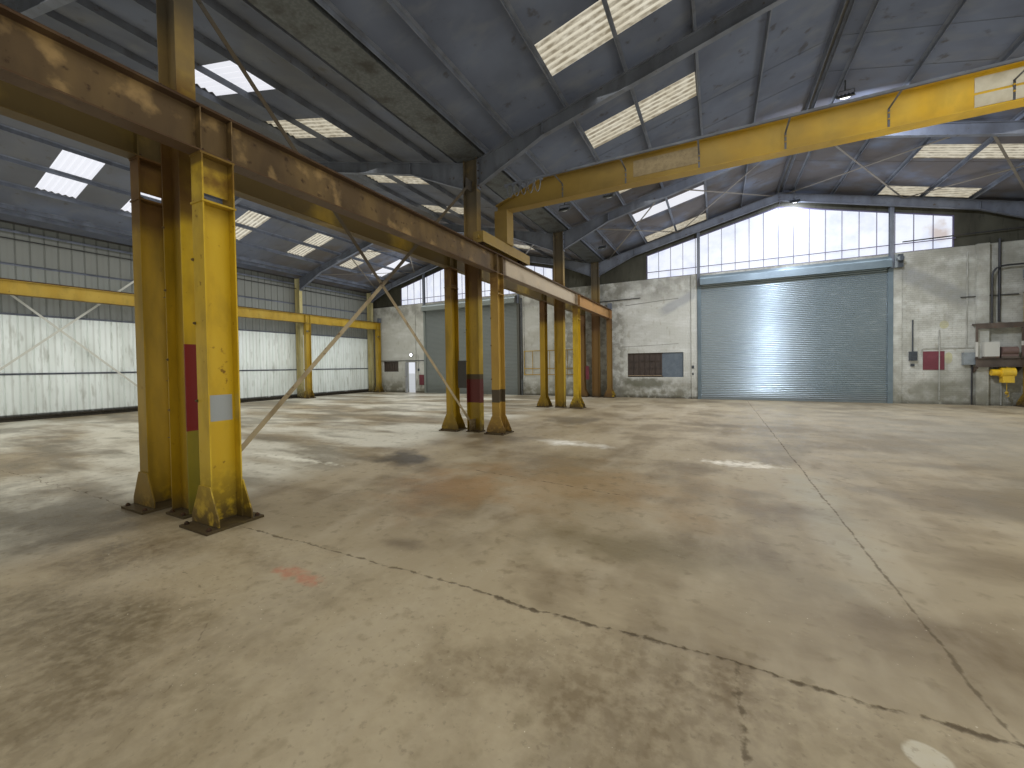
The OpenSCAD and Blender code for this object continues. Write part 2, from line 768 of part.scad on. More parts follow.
// Ridge caps sit on the crests of both slopes
cap_w = 260;
cap_t = 8;
module ridge_caps() {
    top = roof_z(half_span) + (sheet_lift + wave_h + sheet_v + seat_gap) / c_pitch;
    drop = cap_w * t_pitch;
    color("dimgray") for (side = [-1, 1]) translate([side * half_span, 0, 0])
        plate_xz([[-cap_w, top - drop], [0, top], [cap_w, top - drop],
            [cap_w, top - drop + cap_t], [0, top + cap_t], [-cap_w, top - drop + cap_t]], 2 * roof_half);
}

// The valley gutter lies on the stanchion heads, over the ends of the two bays' rafters. Its end
// plates are lower than its sides, so that the roof sheets pass over them.
gutter_end_drop = 25;
module valley_gutter() {
    color("slategray") difference() {
        block(-gutter_half, gutter_half, -roof_half, roof_half, gutter_z, gutter_z + gutter_d);
        block(-gutter_half + gutter_t, gutter_half - gutter_t, -roof_half + gutter_t, roof_half - gutter_t,
            gutter_z + gutter_t, gutter_z + gutter_d + 1);
        block(-gutter_half + gutter_t, gutter_half - gutter_t, -roof_half - 1, roof_half + 1,
            gutter_z + gutter_d - gutter_end_drop, gutter_z + gutter_d + 1);
    }
}

// Eaves gutters: folded troughs with the back against the wall sheets' ribs
trough_w = 150;
trough_d = 100;
trough_turn = 30;
trough_rim = 10;
trough_z = floor_t + eaves_h - eaves_over * t_pitch - 25 - trough_d;
module eaves_gutters() {
    turn = trough_d - trough_rim;
    color("slategray") for (side = [-1, 1]) mirror([side < 0 ? 1 : 0, 0, 0])
        translate([bay_span + wall_out, roof_half, trough_z]) rotate([90, 0, 0])
        linear_extrude(2 * roof_half) difference() {
            polygon([[0, 0], [trough_w - trough_turn, 0], [trough_w, turn], [trough_w, trough_d],
                [0, trough_d]]);
            polygon([[gutter_t, gutter_t], [trough_w - trough_turn - gutter_t, gutter_t],
                [trough_w - gutter_t, turn], [trough_w - gutter_t, trough_d + 1], [gutter_t, trough_d + 1]]);
        }
}

// Rainwater pipes with their wall brackets: one inside, on a pier of the left bay's doorway, and
// those outside from the gutters down to the ground
pipe_r = 50;
pipe_t = 4;
pipe_gap = 8;
pipe_bracket_h = 40;
pipe_bracket_shares = [0.12, 0.5, 0.9];
inside_pipe_drop = 300;
pipe_places = [-16000, -5300, 5300, 16000];
module pipe(x, y, way, z0, z1, bracket_l) {
    translate([x, y, z0]) rotate(way) {
        translate([0, pipe_r + pipe_gap, 0]) difference() {
            cylinder(r = pipe_r, h = z1 - z0, $fn = 32);
            translate([0, 0, -1]) cylinder(r = pipe_r - pipe_t, h = z1 - z0 + 2, $fn = 32);
        }
        for (q = pipe_bracket_shares) difference() {
            translate([-bracket_l / 2, 0, q * (z1 - z0)]) cube([bracket_l, pipe_r, pipe_bracket_h]);
            translate([0, pipe_r + pipe_gap, 0]) cylinder(r = pipe_r - 1, h = z1 - z0, $fn = 32);
        }
    }
}
module downpipes() {
    color("dimgray") {
        pipe(-half_span + shutter_w / 2 + post_edge + pier_w / 2, inner_half - pier_d, 180, floor_t,
            floor_t + sill_h - inside_pipe_drop, 2 * pipe_r);
        for (end = [-1, 1]) pipe(0, end * outer_half, end < 0 ? 180 : 0, 0, gutter_z, 2 * pipe_r);
        for (side = [-1, 1], y = pipe_places)
            pipe(side * (bay_span + wall_out), y, side * -90, 0, trough_z, rib_pitch + pipe_bracket_h);
    }
}

// Bracing: two crossed flats in one bay of each stanchion row, each welded to gussets on the
// stanchions' webs, one flat on either side of the gussets
brace_w = 64;
brace_t = 8;
brace_low = 60;
brace_high = 6150;
brace_gusset = 260;
brace_lap = 60;
module diagonal(x, y0, y1, z0, z1) {
    run = y1 - y0 - brace_gusset;
    rise = z1 - z0 - brace_gusset;
    length = sqrt(run * run + rise * rise);
    block(x - gusset_t / 2, x + gusset_t / 2, y0, y0 + brace_gusset, z0, z0 + brace_gusset);
    block(x - gusset_t / 2, x + gusset_t / 2, y1 - brace_gusset, y1, z1 - brace_gusset, z1);
    translate([x + gusset_t / 2, y0 + brace_gusset / 2, z0 + brace_gusset / 2])
        rotate([atan2(rise, run), 0, 0])
        block(0, brace_t, -brace_lap, length + brace_lap, -brace_w / 2, brace_w / 2);
}
module cross_bracing() {
    y0 = frame_y(mid_frame) + frame_tw / 2;
    y1 = frame_y(mid_frame + 1) - frame_tw / 2;
    z0 = floor_t + brace_low;
    z1 = floor_t + brace_high;
    color("tan") for (x = [-bay_span, 0, bay_span]) {
        diagonal(x, y0, y1, z0, z1);
        translate([2 * x, y0 + y1, 0]) rotate(180) diagonal(x, y0, y1, z0, z1);
    }
    color("dimgray") for (end = [-1, 1]) mirror([0, end < 0 ? 1 : 0, 0]) {
        at_inner_slopes() wind_bracing();
        at_outer_slopes() wind_bracing();
    }
}

// Wind bracing of one slope in the end bay: crossed flats under the rafters' top flanges, the
// one flat just below the other, trimmed to the rafters' webs
wind_places = [620, half_span / 2, half_span - 260];
wind_gap = 1;
module wind_bracing() {
    y0 = frame_y(frame_count - 2) + frame_tw / 2 + seat_gap;
    y1 = frame_y(frame_count - 1) - frame_tw / 2 - seat_gap;
    under = -purlin_d - frame_tf - seat_gap;
    for (i = [0, 1], q = [0, 1]) {
        run = (wind_places[i + 1] - wind_places[i]) / c_pitch;
        on_slope(wind_places[i]) translate([0, 0, under - q * (brace_t + wind_gap)]) intersection() {
            translate([0, q == 0 ? y0 : y1, 0]) rotate((q == 0 ? 1 : -1) * atan2(y1 - y0, run))
                block(-brace_w, norm([y1 - y0, run]) + brace_w, -brace_w / 2, brace_w / 2, -brace_t, 0);
            block(-brace_w, run + brace_w, y0, y1, -2 * brace_t, brace_t);
        }
    }
}

// Travelling crane of the right bay
crane_x0 = crane_off;
crane_x1 = bay_span - crane_off;
rail_top = floor_t + right_runway_h + rail_h;
carriage_z0 = rail_top + 30;
carriage_d = 240;
carriage_w = 260;
wheel_base = carriage_l - 500;
leg_w = 340;
leg_t = 12;
carriage_t = 10;
buffer_l = 70;
buffer_d = 90;
girder_tf = 16;
girder_tw = 12;
taper_l = 1300;
taper_drop = 430;

module crane_girder() {
    z0 = floor_t + girder_h;
    z1 = z0 + girder_d;
    x0 = crane_x0 - leg_w / 2;
    x1 = crane_x1 + leg_w / 2;
    low = z1 - taper_drop;
    color("gold") translate([0, crane_y, 0]) {
        plate_xz([[x0, z0 + girder_tf], [x1, z0 + girder_tf], [x1, low - girder_tf],
            [x1 - taper_l, z1 - girder_tf], [x0 + taper_l, z1 - girder_tf], [x0, low - girder_tf]],
            girder_tw);
        block(x0, x1, -girder_b / 2, girder_b / 2, z0, z0 + girder_tf);
        plate_xz([[x0, low - girder_tf], [x0 + taper_l, z1 - girder_tf], [x1 - taper_l, z1 - girder_tf],
            [x1, low - girder_tf], [x1, low], [x1 - taper_l, z1], [x0 + taper_l, z1], [x0, low]], girder_b);
    }
}

// A box with an open underside for the wheels, and a square tube that carries the girder
module crane_end_carriages() {
    top = carriage_z0 + carriage_d;
    half = carriage_l / 2 - buffer_l;
    side = carriage_w / 2;
    leg = leg_w / 2;
    color("gold") for (x = [crane_x0, crane_x1]) translate([x, crane_y, 0]) {
        difference() {
            block(-side, side, -half, half, carriage_z0, top);
            block(carriage_t - side, side - carriage_t, carriage_t - half, half - carriage_t,
                carriage_z0 - 1, top - carriage_t);
        }
        for (s = [-1, 1]) translate([0, s * half, carriage_z0 + carriage_d / 2]) rotate([s * -90, 0, 0])
            cylinder(d = buffer_d, h = buffer_l, $fn = 32);
        difference() {
            block(-leg, leg, -leg, leg, top, floor_t + girder_h);
            block(leg_t - leg, leg - leg_t, leg_t - leg, leg - leg_t,
                top + leg_t, floor_t + girder_h - leg_t);
        }
    }
}
axle_d = 60;
module crane_wheels() {
    color("dimgray") for (x = [crane_x0, crane_x1], s = [-1, 1])
        translate([x, crane_y + s * wheel_base / 2, rail_top + clear + wheel_d / 2]) rotate([0, 90, 0]) {
            cylinder(d = wheel_d, h = rail_w + 2 * clear, center = true, $fn = 48);
            cylinder(d = axle_d, h = carriage_w - 2 * carriage_t, center = true, $fn = 32);
        }
}

// The cable track: a slotted rail on arms that stand off the girder's web, with the parked
// trolleys and their cable loops at the left end
track_h = 5720;
track_b = 40;
track_t = 4;
track_slot = 12;
track_end = 350;
arm_first = 1535;
arm_pitch = 1420;
arm_b = 30;
arm_t = 6;
trolley_count = 6;
trolley_first = 60;
trolley_pitch = 170;
trolley_l = 70;
trolley_h = 42;
loop_drop = 230;
cable_t = 10;
cable_w = 30;

// Outline of a hanging cable loop, w wide between its ends
function loop_points(w, drop, t) = concat(
    [for (a = [180:15:360]) [(w / 2 + t / 2) * cos(a), (drop + t / 2) * sin(a)]],
    [for (a = [360:-15:180]) [(w / 2 - t / 2) * cos(a), (drop - t / 2) * sin(a)]]
);

// One bent arm, about its own middle: out over the track, then down the girder's web
module track_arm(z) {
    web = track_out - girder_tw / 2;
    block(-arm_b / 2, arm_b / 2, -track_b / 2, web, z, z + arm_t);
    block(-arm_b / 2, arm_b / 2, web - arm_t, web, floor_t + girder_h + girder_tf, z);
}

module crane_cable_track() {
    z = floor_t + track_h;
    x0 = crane_x0 + track_end;
    x1 = crane_x1 - track_end;
    side = track_b / 2;
    arm_n = floor((crane_x1 - crane_x0 - 2 * arm_first) / arm_pitch);
    color("dimgray") translate([0, crane_y - track_out, 0]) {
        difference() {
            block(x0, x1, -side, side, z, z + track_b);
            block(x0 - 1, x1 + 1, track_t - side, side - track_t, z + track_t, z + track_b - track_t);
            block(x0 - 1, x1 + 1, -track_slot / 2, track_slot / 2, z - 1, z + track_t + 1);
        }
        for (i = [0:arm_n]) translate([crane_x0 + arm_first + i * arm_pitch, 0, 0]) track_arm(z + track_b);
        translate([x0 + trolley_first, 0, z - trolley_h]) {
            for (i = [0:trolley_count - 1]) translate([i * trolley_pitch, 0, 0])
                block(-trolley_l / 2, trolley_l / 2, -side, side, 0, trolley_h);
            for (i = [1:trolley_count - 1]) translate([(i - 0.5) * trolley_pitch, 0, 0])
                plate_xz(loop_points(trolley_pitch - cable_w, loop_drop, cable_t), cable_w);
        }
    }
}

// Floodlights under the purlins: a finned housing in a yoke on a drop strap
lamp_w = 330;
lamp_h = 260;
lamp_d = 60;
fin_count = 5;
fin_t = 4;
fin_in = 20;
lamp_tilt = 35;
lamp_drop = 250;
yoke_t = 6;
yoke_w = 30;
yoke_l = 110;
lamp_inner = inner_first + purlin_gap;
lamp_outer = bay_span - outer_first - 5 * purlin_gap;
// Each as the level distance of its purlin from the valley line, and its place along the building
lamp_places = [[inner_first, 9700], [lamp_inner, 10150], [inner_first, 14350],
    [lamp_outer, 10050], [lamp_outer, 17130]];

module floodlight() {
    arm = lamp_w / 2 + yoke_t;
    half_h = lamp_h / 2;
    fin_pitch = (lamp_w - 2 * fin_in) / (fin_count - 1);
    block(-yoke_w / 2, yoke_w / 2, -yoke_t / 2, yoke_t / 2, yoke_t - lamp_drop, 0);
    block(-arm - yoke_t, arm + yoke_t, -yoke_w / 2, yoke_w / 2, -lamp_drop, yoke_t - lamp_drop);
    for (x = [-arm - yoke_t, arm])
        block(x, x + yoke_t, -yoke_w / 2, yoke_w / 2, -lamp_drop - yoke_l, yoke_t - lamp_drop);
    translate([0, 0, -lamp_drop - yoke_l]) rotate([lamp_tilt, 0, 0]) {
        block(-arm, arm, -half_h, half_h, -lamp_d / 2, 0);
        for (i = [0:fin_count - 1]) translate([fin_in - lamp_w / 2 + i * fin_pitch, 0, 0])
            block(-fin_t / 2, fin_t / 2, fin_in - half_h, half_h - fin_in, 0, lamp_d / 2);
    }
}
module floodlights() {
    color("gray") for (p = lamp_places)
        translate([p[0] + (p[0] < half_span ? 1 : -1) * purlin_t / 2, p[1], roof_z(p[0]) - rafter_top_drop])
            floodlight();
}

// Boxes on the far wall right of the right bay's doorway, the motor of its shutter, and a box on
// one stanchion of the valley row
switch_x = 555;
switch_z = 1590;
switch_size = [210, 120, 340];
conduit_size = [30, 40, 1160];
isolator_gap = 25;
isolator_z = 1420;
isolator_size = [290, 140, 430];
gearbox_size = [240, 150, 480];
motor_d = 180;
motor_l = 260;
motor_out = 200;
motor_z = 300;
column_box_size = [250, 180, 680];
column_box_z = 1080;

// A box standing out from the wall face y = 0
module wall_box(x, z, size) { translate([x, -size[1], z]) cube(size); }

module switch_boxes() {
    jamb = shutter_x(1, 1) + shutter_w / 2;
    gearbox_x = jamb + post_edge + 5;
    isolator_x = bay_span - stub_pier_in - stub_pier_w / 2 - isolator_gap - isolator_size[0];
    conduit_x = jamb + switch_x + (switch_size[0] - conduit_size[0]) / 2;
    color("gray") translate([0, inner_half, floor_t]) {
        wall_box(jamb + switch_x, switch_z, switch_size);
        wall_box(conduit_x, switch_z + switch_size[2], conduit_size);
        wall_box(isolator_x, isolator_z, isolator_size);
        translate([0, -pier_d, 0]) wall_box(gearbox_x, shutter_h, gearbox_size);
        translate([gearbox_x + gearbox_size[0] / 2, -pier_d - motor_out, shutter_h + motor_z])
            rotate([90, 0, 0]) cylinder(d = motor_d, h = motor_l, center = true, $fn = 48);
    }
    color("dimgray") translate([-rail_out, frame_y(mid_frame + 1) + column_box_size[1] / 2, floor_t])
        wall_box(-column_box_size[0], column_box_z, column_box_size);
}

// Guard rail on the far wall of the left bay, beside the valley row
guard_x0 = -4050;
guard_x1 = -560;
guard_low = 1120;
guard_mid = 1450;
guard_high = 2400;
guard_out = 90;
guard_d = 42;
upright_d = 34;
upright_count = 8;
tab_w = 30;
tab_in = 60;
module guard_rail() {
    run = guard_x1 - guard_x0 - guard_d;
    color(yellow) translate([guard_x0 + guard_d / 2, inner_half - guard_out, floor_t]) {
        for (z = [guard_low, guard_mid, guard_high]) translate([-guard_d / 2, 0, z]) rotate([0, 90, 0])
            cylinder(d = guard_d, h = run + guard_d, $fn = 24);
        for (i = [0:upright_count - 1]) translate([i * run / (upright_count - 1), 0, guard_low])
            cylinder(d = upright_d, h = guard_high - guard_low, $fn = 24);
        for (x = [0, run], z = [guard_low + tab_in, guard_high - tab_in]) translate([x, 0, z])
            block(-tab_w / 2, tab_w / 2, 0, guard_out, -tab_w / 2, tab_w / 2);
    }
}

// A steel rack in the right bay's corner: a beam on wall brackets, with a light frame above it, a
// cabinet and a cased winch standing on it, and a small hoist hung below. It ends just before the
// last crane column.
rack_l = 1140;
rack_gap = 25;
rack_x = bay_span - crane_off - col_b / 2 - rack_gap - rack_l;
rack_out = 245;
rack_z = 1340;
rack_d = 305;
rack_b = 165;
rack_tf = 12;
rack_tw = 8;
rack_frame_b = 50;
rack_top = 2840;
rack_top_d = 180;
bracket_places = [31, 1070];
bracket_over = 80;
bracket_drop = 200;
bracket_toe = 30;
bracket_heel = 60;
cabinet_size = [360, 180, 550];
cabinet_x = 180;
winch_x = 590;
winch_l = 400;
winch_d = 270;
winch_in = 15;
winch_foot_size = [winch_l, 160, 120];

module wall_rack() {
    frame = rack_frame_b / 2;
    deck = rack_z + rack_d;
    color("dimgray") translate([rack_x, inner_half, floor_t]) {
        translate([0, -rack_out, rack_z + rack_d / 2]) rotate([90, 0, 90]) linear_extrude(rack_l)
            rotate(90) polygon(i_points(rack_d, rack_b, rack_tf, rack_tw));
        for (x = bracket_places)
            plate_yz([[0, rack_z - bracket_drop], [0, rack_z], [-rack_out - bracket_over, rack_z],
                [-rack_out - bracket_over, rack_z - bracket_toe], [-bracket_heel, rack_z - bracket_drop]],
                bracket_t, x);
        for (x = [0, rack_l - rack_frame_b]) translate([x, 0, 0]) {
            block(0, rack_frame_b, -rack_out - frame, -rack_out + frame, deck, rack_top);
            block(0, rack_frame_b, -rack_out + frame, 0, rack_top - rack_frame_b, rack_top);
        }
        block(rack_frame_b, rack_l - rack_frame_b, -rack_out - frame, -rack_out + frame,
            rack_top - rack_top_d, rack_top);
        translate([0, cabinet_size[1] / 2 - rack_out, 0]) wall_box(cabinet_x, deck, cabinet_size);
        translate([0, winch_foot_size[1] / 2 - rack_out, 0]) wall_box(winch_x, deck, winch_foot_size);
        translate([winch_x + winch_in, -rack_out, deck + winch_foot_size[2] + winch_d / 2 - winch_in])
            rotate([0, 90, 0]) cylinder(d = winch_d, h = winch_l - 2 * winch_in, $fn = 48);
    }
}

hoist_x = 750;
hoist_l = 330;
hoist_r = 165;
hoist_drop = 190;
motor_r = 110;
motor_reach = 210;
gear_in = 30;
gear_h = 240;
gear_drop = 180;
lug_w = 40;
lug_b = 90;
rope_r = 9;
rope_l = 330;
block_r = 48;
hook_r = 45;
hook_t = 22;
hook_w = 30;
hook_bend = 240;
sunk = 10;
module wall_hoist() {
    low = -hoist_r - gear_drop;
    half = hoist_l / 2;
    ball = low + 3 * sunk - rope_l - block_r;
    color("gold") translate([rack_x + hoist_x, inner_half - rack_out, floor_t + rack_z - hoist_drop]) {
        rotate([0, 90, 0]) cylinder(r = hoist_r, h = hoist_l, center = true, $fn = 48);
        block(gear_in - half, half - gear_in, -motor_r, motor_r, low, low + gear_h);
        translate([-half - motor_reach, 0, 0]) rotate([0, 90, 0])
            cylinder(r = motor_r, h = motor_reach + sunk, $fn = 48);
        block(-lug_w / 2, lug_w / 2, -lug_b / 2, lug_b / 2, hoist_r - 2 * sunk, hoist_drop);
        translate([0, 0, low + sunk - rope_l]) cylinder(r = rope_r, h = rope_l, $fn = 16);
        translate([0, 0, ball]) sphere(r = block_r, $fn = 32);
        translate([0, 0, ball - block_r - hook_r]) rotate([90, 0, 0]) rotate(-hook_bend / 2)
            rotate_extrude(angle = hook_bend, $fn = 48)
            translate([hook_r, 0]) square([hook_t, hook_w], center = true);
    }
}

floor_slab();
far_wall_main();
far_wall_corner();
far_wall_over_door();
front_wall();
gable_cladding();
gable_glazing_bars();
gable_glass();
door_frame();
door_leaf();
far_windows();
shutter_curtains();
shutter_hoods();
shutter_guides();
gable_posts();
wall_sheets();
wall_rails();
valley_posts();
wall_posts();
valley_crane_columns();
wall_crane_columns();
left_bay_runways();
right_bay_runways();
crane_rails();
runway_stops();
rafters();
purlins();
roof_linings();
left_roof_sheets();
right_roof_sheets();
rooflights();
ridge_caps();
valley_gutter();
eaves_gutters();
downpipes();
cross_bracing();
floodlights();
switch_boxes();
guard_rail();
wall_rack();
wall_hoist();
crane_girder();
crane_end_carriages();
crane_wheels();
crane_cable_track();
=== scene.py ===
# %% [markdown]
# # A twin-bay factory shed
# The frame holds the building's steel, walls and roof at their real size. This script gives every piece
# its finish, adds the small things that CAD leaves out, and sets up the lamps and the camera.

# %% Load the frame
import math

import bmesh
import bpy
from mathutils import Matrix, Vector


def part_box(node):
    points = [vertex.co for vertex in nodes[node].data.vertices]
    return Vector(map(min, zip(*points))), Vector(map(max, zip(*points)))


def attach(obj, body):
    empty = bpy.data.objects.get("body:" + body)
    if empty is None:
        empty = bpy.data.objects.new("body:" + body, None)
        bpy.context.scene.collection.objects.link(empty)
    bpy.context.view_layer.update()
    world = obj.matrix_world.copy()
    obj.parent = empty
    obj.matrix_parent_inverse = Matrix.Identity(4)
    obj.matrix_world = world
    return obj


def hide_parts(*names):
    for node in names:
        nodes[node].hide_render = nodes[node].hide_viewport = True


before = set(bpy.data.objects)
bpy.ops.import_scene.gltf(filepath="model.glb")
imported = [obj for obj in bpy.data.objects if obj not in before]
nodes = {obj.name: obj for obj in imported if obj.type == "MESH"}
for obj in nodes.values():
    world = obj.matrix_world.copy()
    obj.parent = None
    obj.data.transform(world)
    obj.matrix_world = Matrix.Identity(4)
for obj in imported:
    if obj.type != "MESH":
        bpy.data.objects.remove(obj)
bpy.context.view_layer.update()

# %% [markdown]
# ## Where things are
# Sizes that several pieces share are read from the CAD pieces' boxes or follow from them, so that the
# small pieces sit on what carries them. The valley is at x = 0 and the two bays lie on either side of it.

# %% Shared places
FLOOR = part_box("floor_slab")[1][2]
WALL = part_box("far_wall_corner")[0][1]
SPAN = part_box("wall_posts")[1][0] - 0.1905
HALF = SPAN / 2
PITCH = 6.096
GABLE_FRAME = WALL - 0.3
FRAMES = [-GABLE_FRAME, -2 * PITCH, -PITCH, 0.0, PITCH, 2 * PITCH, GABLE_FRAME]
EAVES = FLOOR + 6.7
SLOPE = math.tan(math.radians(14))
COLUMN_OFF = 0.665
RUNWAYS = ((-SPAN + COLUMN_OFF, 4.55), (-COLUMN_OFF, 4.55), (COLUMN_OFF, 4.27), (SPAN - COLUMN_OFF, 4.27))


def roof_height(x):
    """Height of the roof sheets' underside over a place across the building."""
    across = abs(x)
    return EAVES + min(across, SPAN - across) * SLOPE


print("floor", round(FLOOR, 3), "far wall", round(WALL, 3), "span", round(SPAN, 3))

# %% [markdown]
# ## Camera
# The camera stands at eye height in the right bay, near the middle frame, and has a wide lens. Its place,
# turn and focal length come from a fit to the lines of the steelwork.

# %% Place the camera
EYE = Vector((5.347, -2.377, FLOOR + 1.614))
TURN = math.radians(-27.143)
TILT = math.radians(-1.153)
ROLL = math.radians(-0.829)
SENSOR = 36.0
FOCAL = 14.169

ahead = Vector((math.sin(TURN) * math.cos(TILT), math.cos(TURN) * math.cos(TILT), math.sin(TILT)))
level = Vector((math.cos(TURN), -math.sin(TURN), 0.0))
rise = level.cross(ahead)
right = level * math.cos(ROLL) + rise * math.sin(ROLL)
up = rise * math.cos(ROLL) - level * math.sin(ROLL)

lens = bpy.data.cameras.new("phone_lens")
lens.sensor_width = SENSOR
lens.lens = FOCAL
lens.shift_x = 0.0011
lens.shift_y = -0.0098
lens.clip_start = 0.05
lens.clip_end = 400.0
camera = bpy.data.objects.new("phone", lens)
camera.matrix_world = Matrix((
    (right.x, up.x, -ahead.x, EYE.x),
    (right.y, up.y, -ahead.y, EYE.y),
    (right.z, up.z, -ahead.z, EYE.z),
    (0.0, 0.0, 0.0, 1.0),
))
bpy.context.scene.collection.objects.link(camera)
bpy.context.scene.camera = camera
bpy.context.scene.view_settings.view_transform = "Standard"
print("camera at", [round(v, 3) for v in EYE])

# %% [markdown]
# ## A small kit for materials
# A material is a tree of nodes. One function adds a node with its settings and links, another turns a
# written colour into the linear values that a renderer mixes. The rest make the masks that old buildings
# share: clouds of dirt, bands between two heights, spots and strokes.

# %% Colours and nodes
def linear(code):
    """sRGB hex colour as linear RGBA."""
    parts = [int(code[i:i + 2], 16) / 255 for i in (1, 3, 5)]
    return tuple(c / 12.92 if c <= 0.04045 else ((c + 0.055) / 1.055) ** 2.4 for c in parts) + (1.0,)


def add(tree, kind, links=None, **settings):
    """Adds one node. settings are its properties, links its inputs: a value or another node's output."""
    node = tree.nodes.new(kind)
    for name, value in settings.items():
        setattr(node, name, value)
    for key, value in (links or {}).items():
        socket = node.inputs[key]
        if isinstance(value, bpy.types.NodeSocket):
            tree.links.new(value, socket)
        else:
            socket.default_value = value
    return node


SHARED = {}


def shared(tree, key, make):
    """An output that a material's masks share: it is made the first time, and used again after that."""
    key = (tree.as_pointer(),) + key
    if key not in SHARED:
        SHARED[key] = make()
    return SHARED[key]


def place(tree):
    """Coordinates of the surface in metres, the same as the building's own."""
    return shared(tree, ("place",), lambda: add(tree, "ShaderNodeTexCoord").outputs["Object"])


def coordinate(tree, axis):
    """One of the three coordinates: axis is 0, 1 or 2 for x, y or z."""
    parts = shared(tree, ("parts",), lambda: add(tree, "ShaderNodeSeparateXYZ", {0: place(tree)}))
    return parts.outputs[axis]


def ramp(tree, value, start, end, low=0.0, high=1.0):
    """Maps a value from start..end to low..high, and holds it at both ends."""
    return add(tree, "ShaderNodeMapRange", {
        "Value": value, "From Min": start, "From Max": end, "To Min": low, "To Max": high}).outputs[0]


def times(tree, a, b):
    """Product of two numbers, outputs or values."""
    return add(tree, "ShaderNodeMath", {0: a, 1: b}, operation="MULTIPLY").outputs[0]


# %% [markdown]
# Each mask maker below is called with its settings and gives a function of the tree, so that a finish can
# be written as a list of masks and colours.

# %% Mask makers
def clouds(size, low=0.4, high=0.6, detail=4, stretch=(1, 1, 1), shift=0.0):
    """Soft patches about size metres across; stretch makes them longer along an axis."""
    def mask(tree):
        def make():
            scale = tuple(1 / (size * s) for s in stretch)
            at = add(tree, "ShaderNodeMapping", {
                "Vector": place(tree), "Location": (shift, shift, shift), "Scale": scale})
            noise = add(tree, "ShaderNodeTexNoise", {
                "Vector": at.outputs[0], "Scale": 1.0, "Detail": detail, "Roughness": 0.55})
            return noise.outputs["Fac"]
        noise = shared(tree, ("clouds", size, detail, stretch, shift), make)
        return ramp(tree, noise, low, high)
    return mask


def band(axis, low, high, soft):
    """1 between low and high along an axis, with edges soft metres wide."""
    def mask(tree):
        value = coordinate(tree, axis)
        return times(tree, ramp(tree, value, low - soft, low), ramp(tree, value, high, high + soft, 1.0, 0.0))
    return mask


def both(*makers):
    """Where all the masks meet."""
    def mask(tree):
        out = makers[0](tree)
        for maker in makers[1:]:
            out = times(tree, out, maker(tree))
        return out
    return mask


def spot(centre, size, soft=0.6, ragged=0.5):
    """A stain round a centre, size its three half widths in metres, its edge broken up."""
    grain = 0.12 if min(size[:2]) < 0.3 else 0.5
    def mask(tree):
        at = add(tree, "ShaderNodeVectorMath", {0: place(tree), 1: centre}, operation="SUBTRACT")
        at = add(tree, "ShaderNodeVectorMath", {0: at.outputs[0], 1: tuple(1 / s for s in size)},
                 operation="MULTIPLY")
        away = add(tree, "ShaderNodeVectorMath", {0: at.outputs[0]}, operation="LENGTH").outputs["Value"]
        noise = clouds(grain, 0.3, 0.7)(tree)
        edge = add(tree, "ShaderNodeMath", {0: noise, 1: ragged, 2: away}, operation="MULTIPLY_ADD")
        return ramp(tree, edge.outputs[0], 1.0 - soft + ragged / 2, 1.0 + ragged / 2, 1.0, 0.0)
    return mask


def stroke(a, b, width, wander=0.02, plane=(0, 1), crumble=0.0):
    """A line from a to b in a plane of two axes, width metres wide. It wanders, and its edges crumble."""
    start = Vector(a)
    run = Vector(b) - start
    way = run.normalized()

    def lift(u, v):
        out = [0.0, 0.0, 0.0]
        out[plane[0]] = u
        out[plane[1]] = v
        return out

    def mask(tree):
        at = add(tree, "ShaderNodeVectorMath", {0: place(tree), 1: lift(*start)},
                 operation="SUBTRACT").outputs[0]
        side = add(tree, "ShaderNodeVectorMath", {0: at, 1: lift(-way.y, way.x)},
                   operation="DOT_PRODUCT").outputs["Value"]
        far = add(tree, "ShaderNodeVectorMath", {0: at, 1: lift(way.x, way.y)},
                  operation="DOT_PRODUCT").outputs["Value"]
        noise = clouds(0.5, 0.2, 0.8)(tree)
        drift = add(tree, "ShaderNodeMath", {0: noise, 1: 2 * wander, 2: -wander}, operation="MULTIPLY_ADD")
        off = add(tree, "ShaderNodeMath", {0: side, 1: drift.outputs[0]})
        off = add(tree, "ShaderNodeMath", {0: off.outputs[0]}, operation="ABSOLUTE").outputs[0]
        if crumble:
            chips = clouds(0.06, 0.3, 0.7)(tree)
            off = add(tree, "ShaderNodeMath", {0: chips, 1: crumble, 2: off},
                      operation="MULTIPLY_ADD").outputs[0]
        line = ramp(tree, off, width * 0.35, width * 0.75, 1.0, 0.0)
        begun = ramp(tree, far, -width, 0.0)
        ended = ramp(tree, far, run.length, run.length + width, 1.0, 0.0)
        return times(tree, line, times(tree, begun, ended))
    return mask


# %% [markdown]
# A finish is a base colour under coats: each coat is a mask and the colour that shows where the mask is
# 1. Dirt is rougher than paint, so a coat also brings its roughness. Bump comes from height masks, each
# with its depth in metres.

# %% Build a finish from coats
def coat_over(tree, colour, *coats):
    """Colour of a base, linear or another coat's output, under coats of (mask, hex)."""
    for mask, code in coats:
        mix = add(tree, "ShaderNodeMix", {0: mask, 6: colour, 7: linear(code)}, data_type="RGBA")
        colour = mix.outputs[2]
    return colour


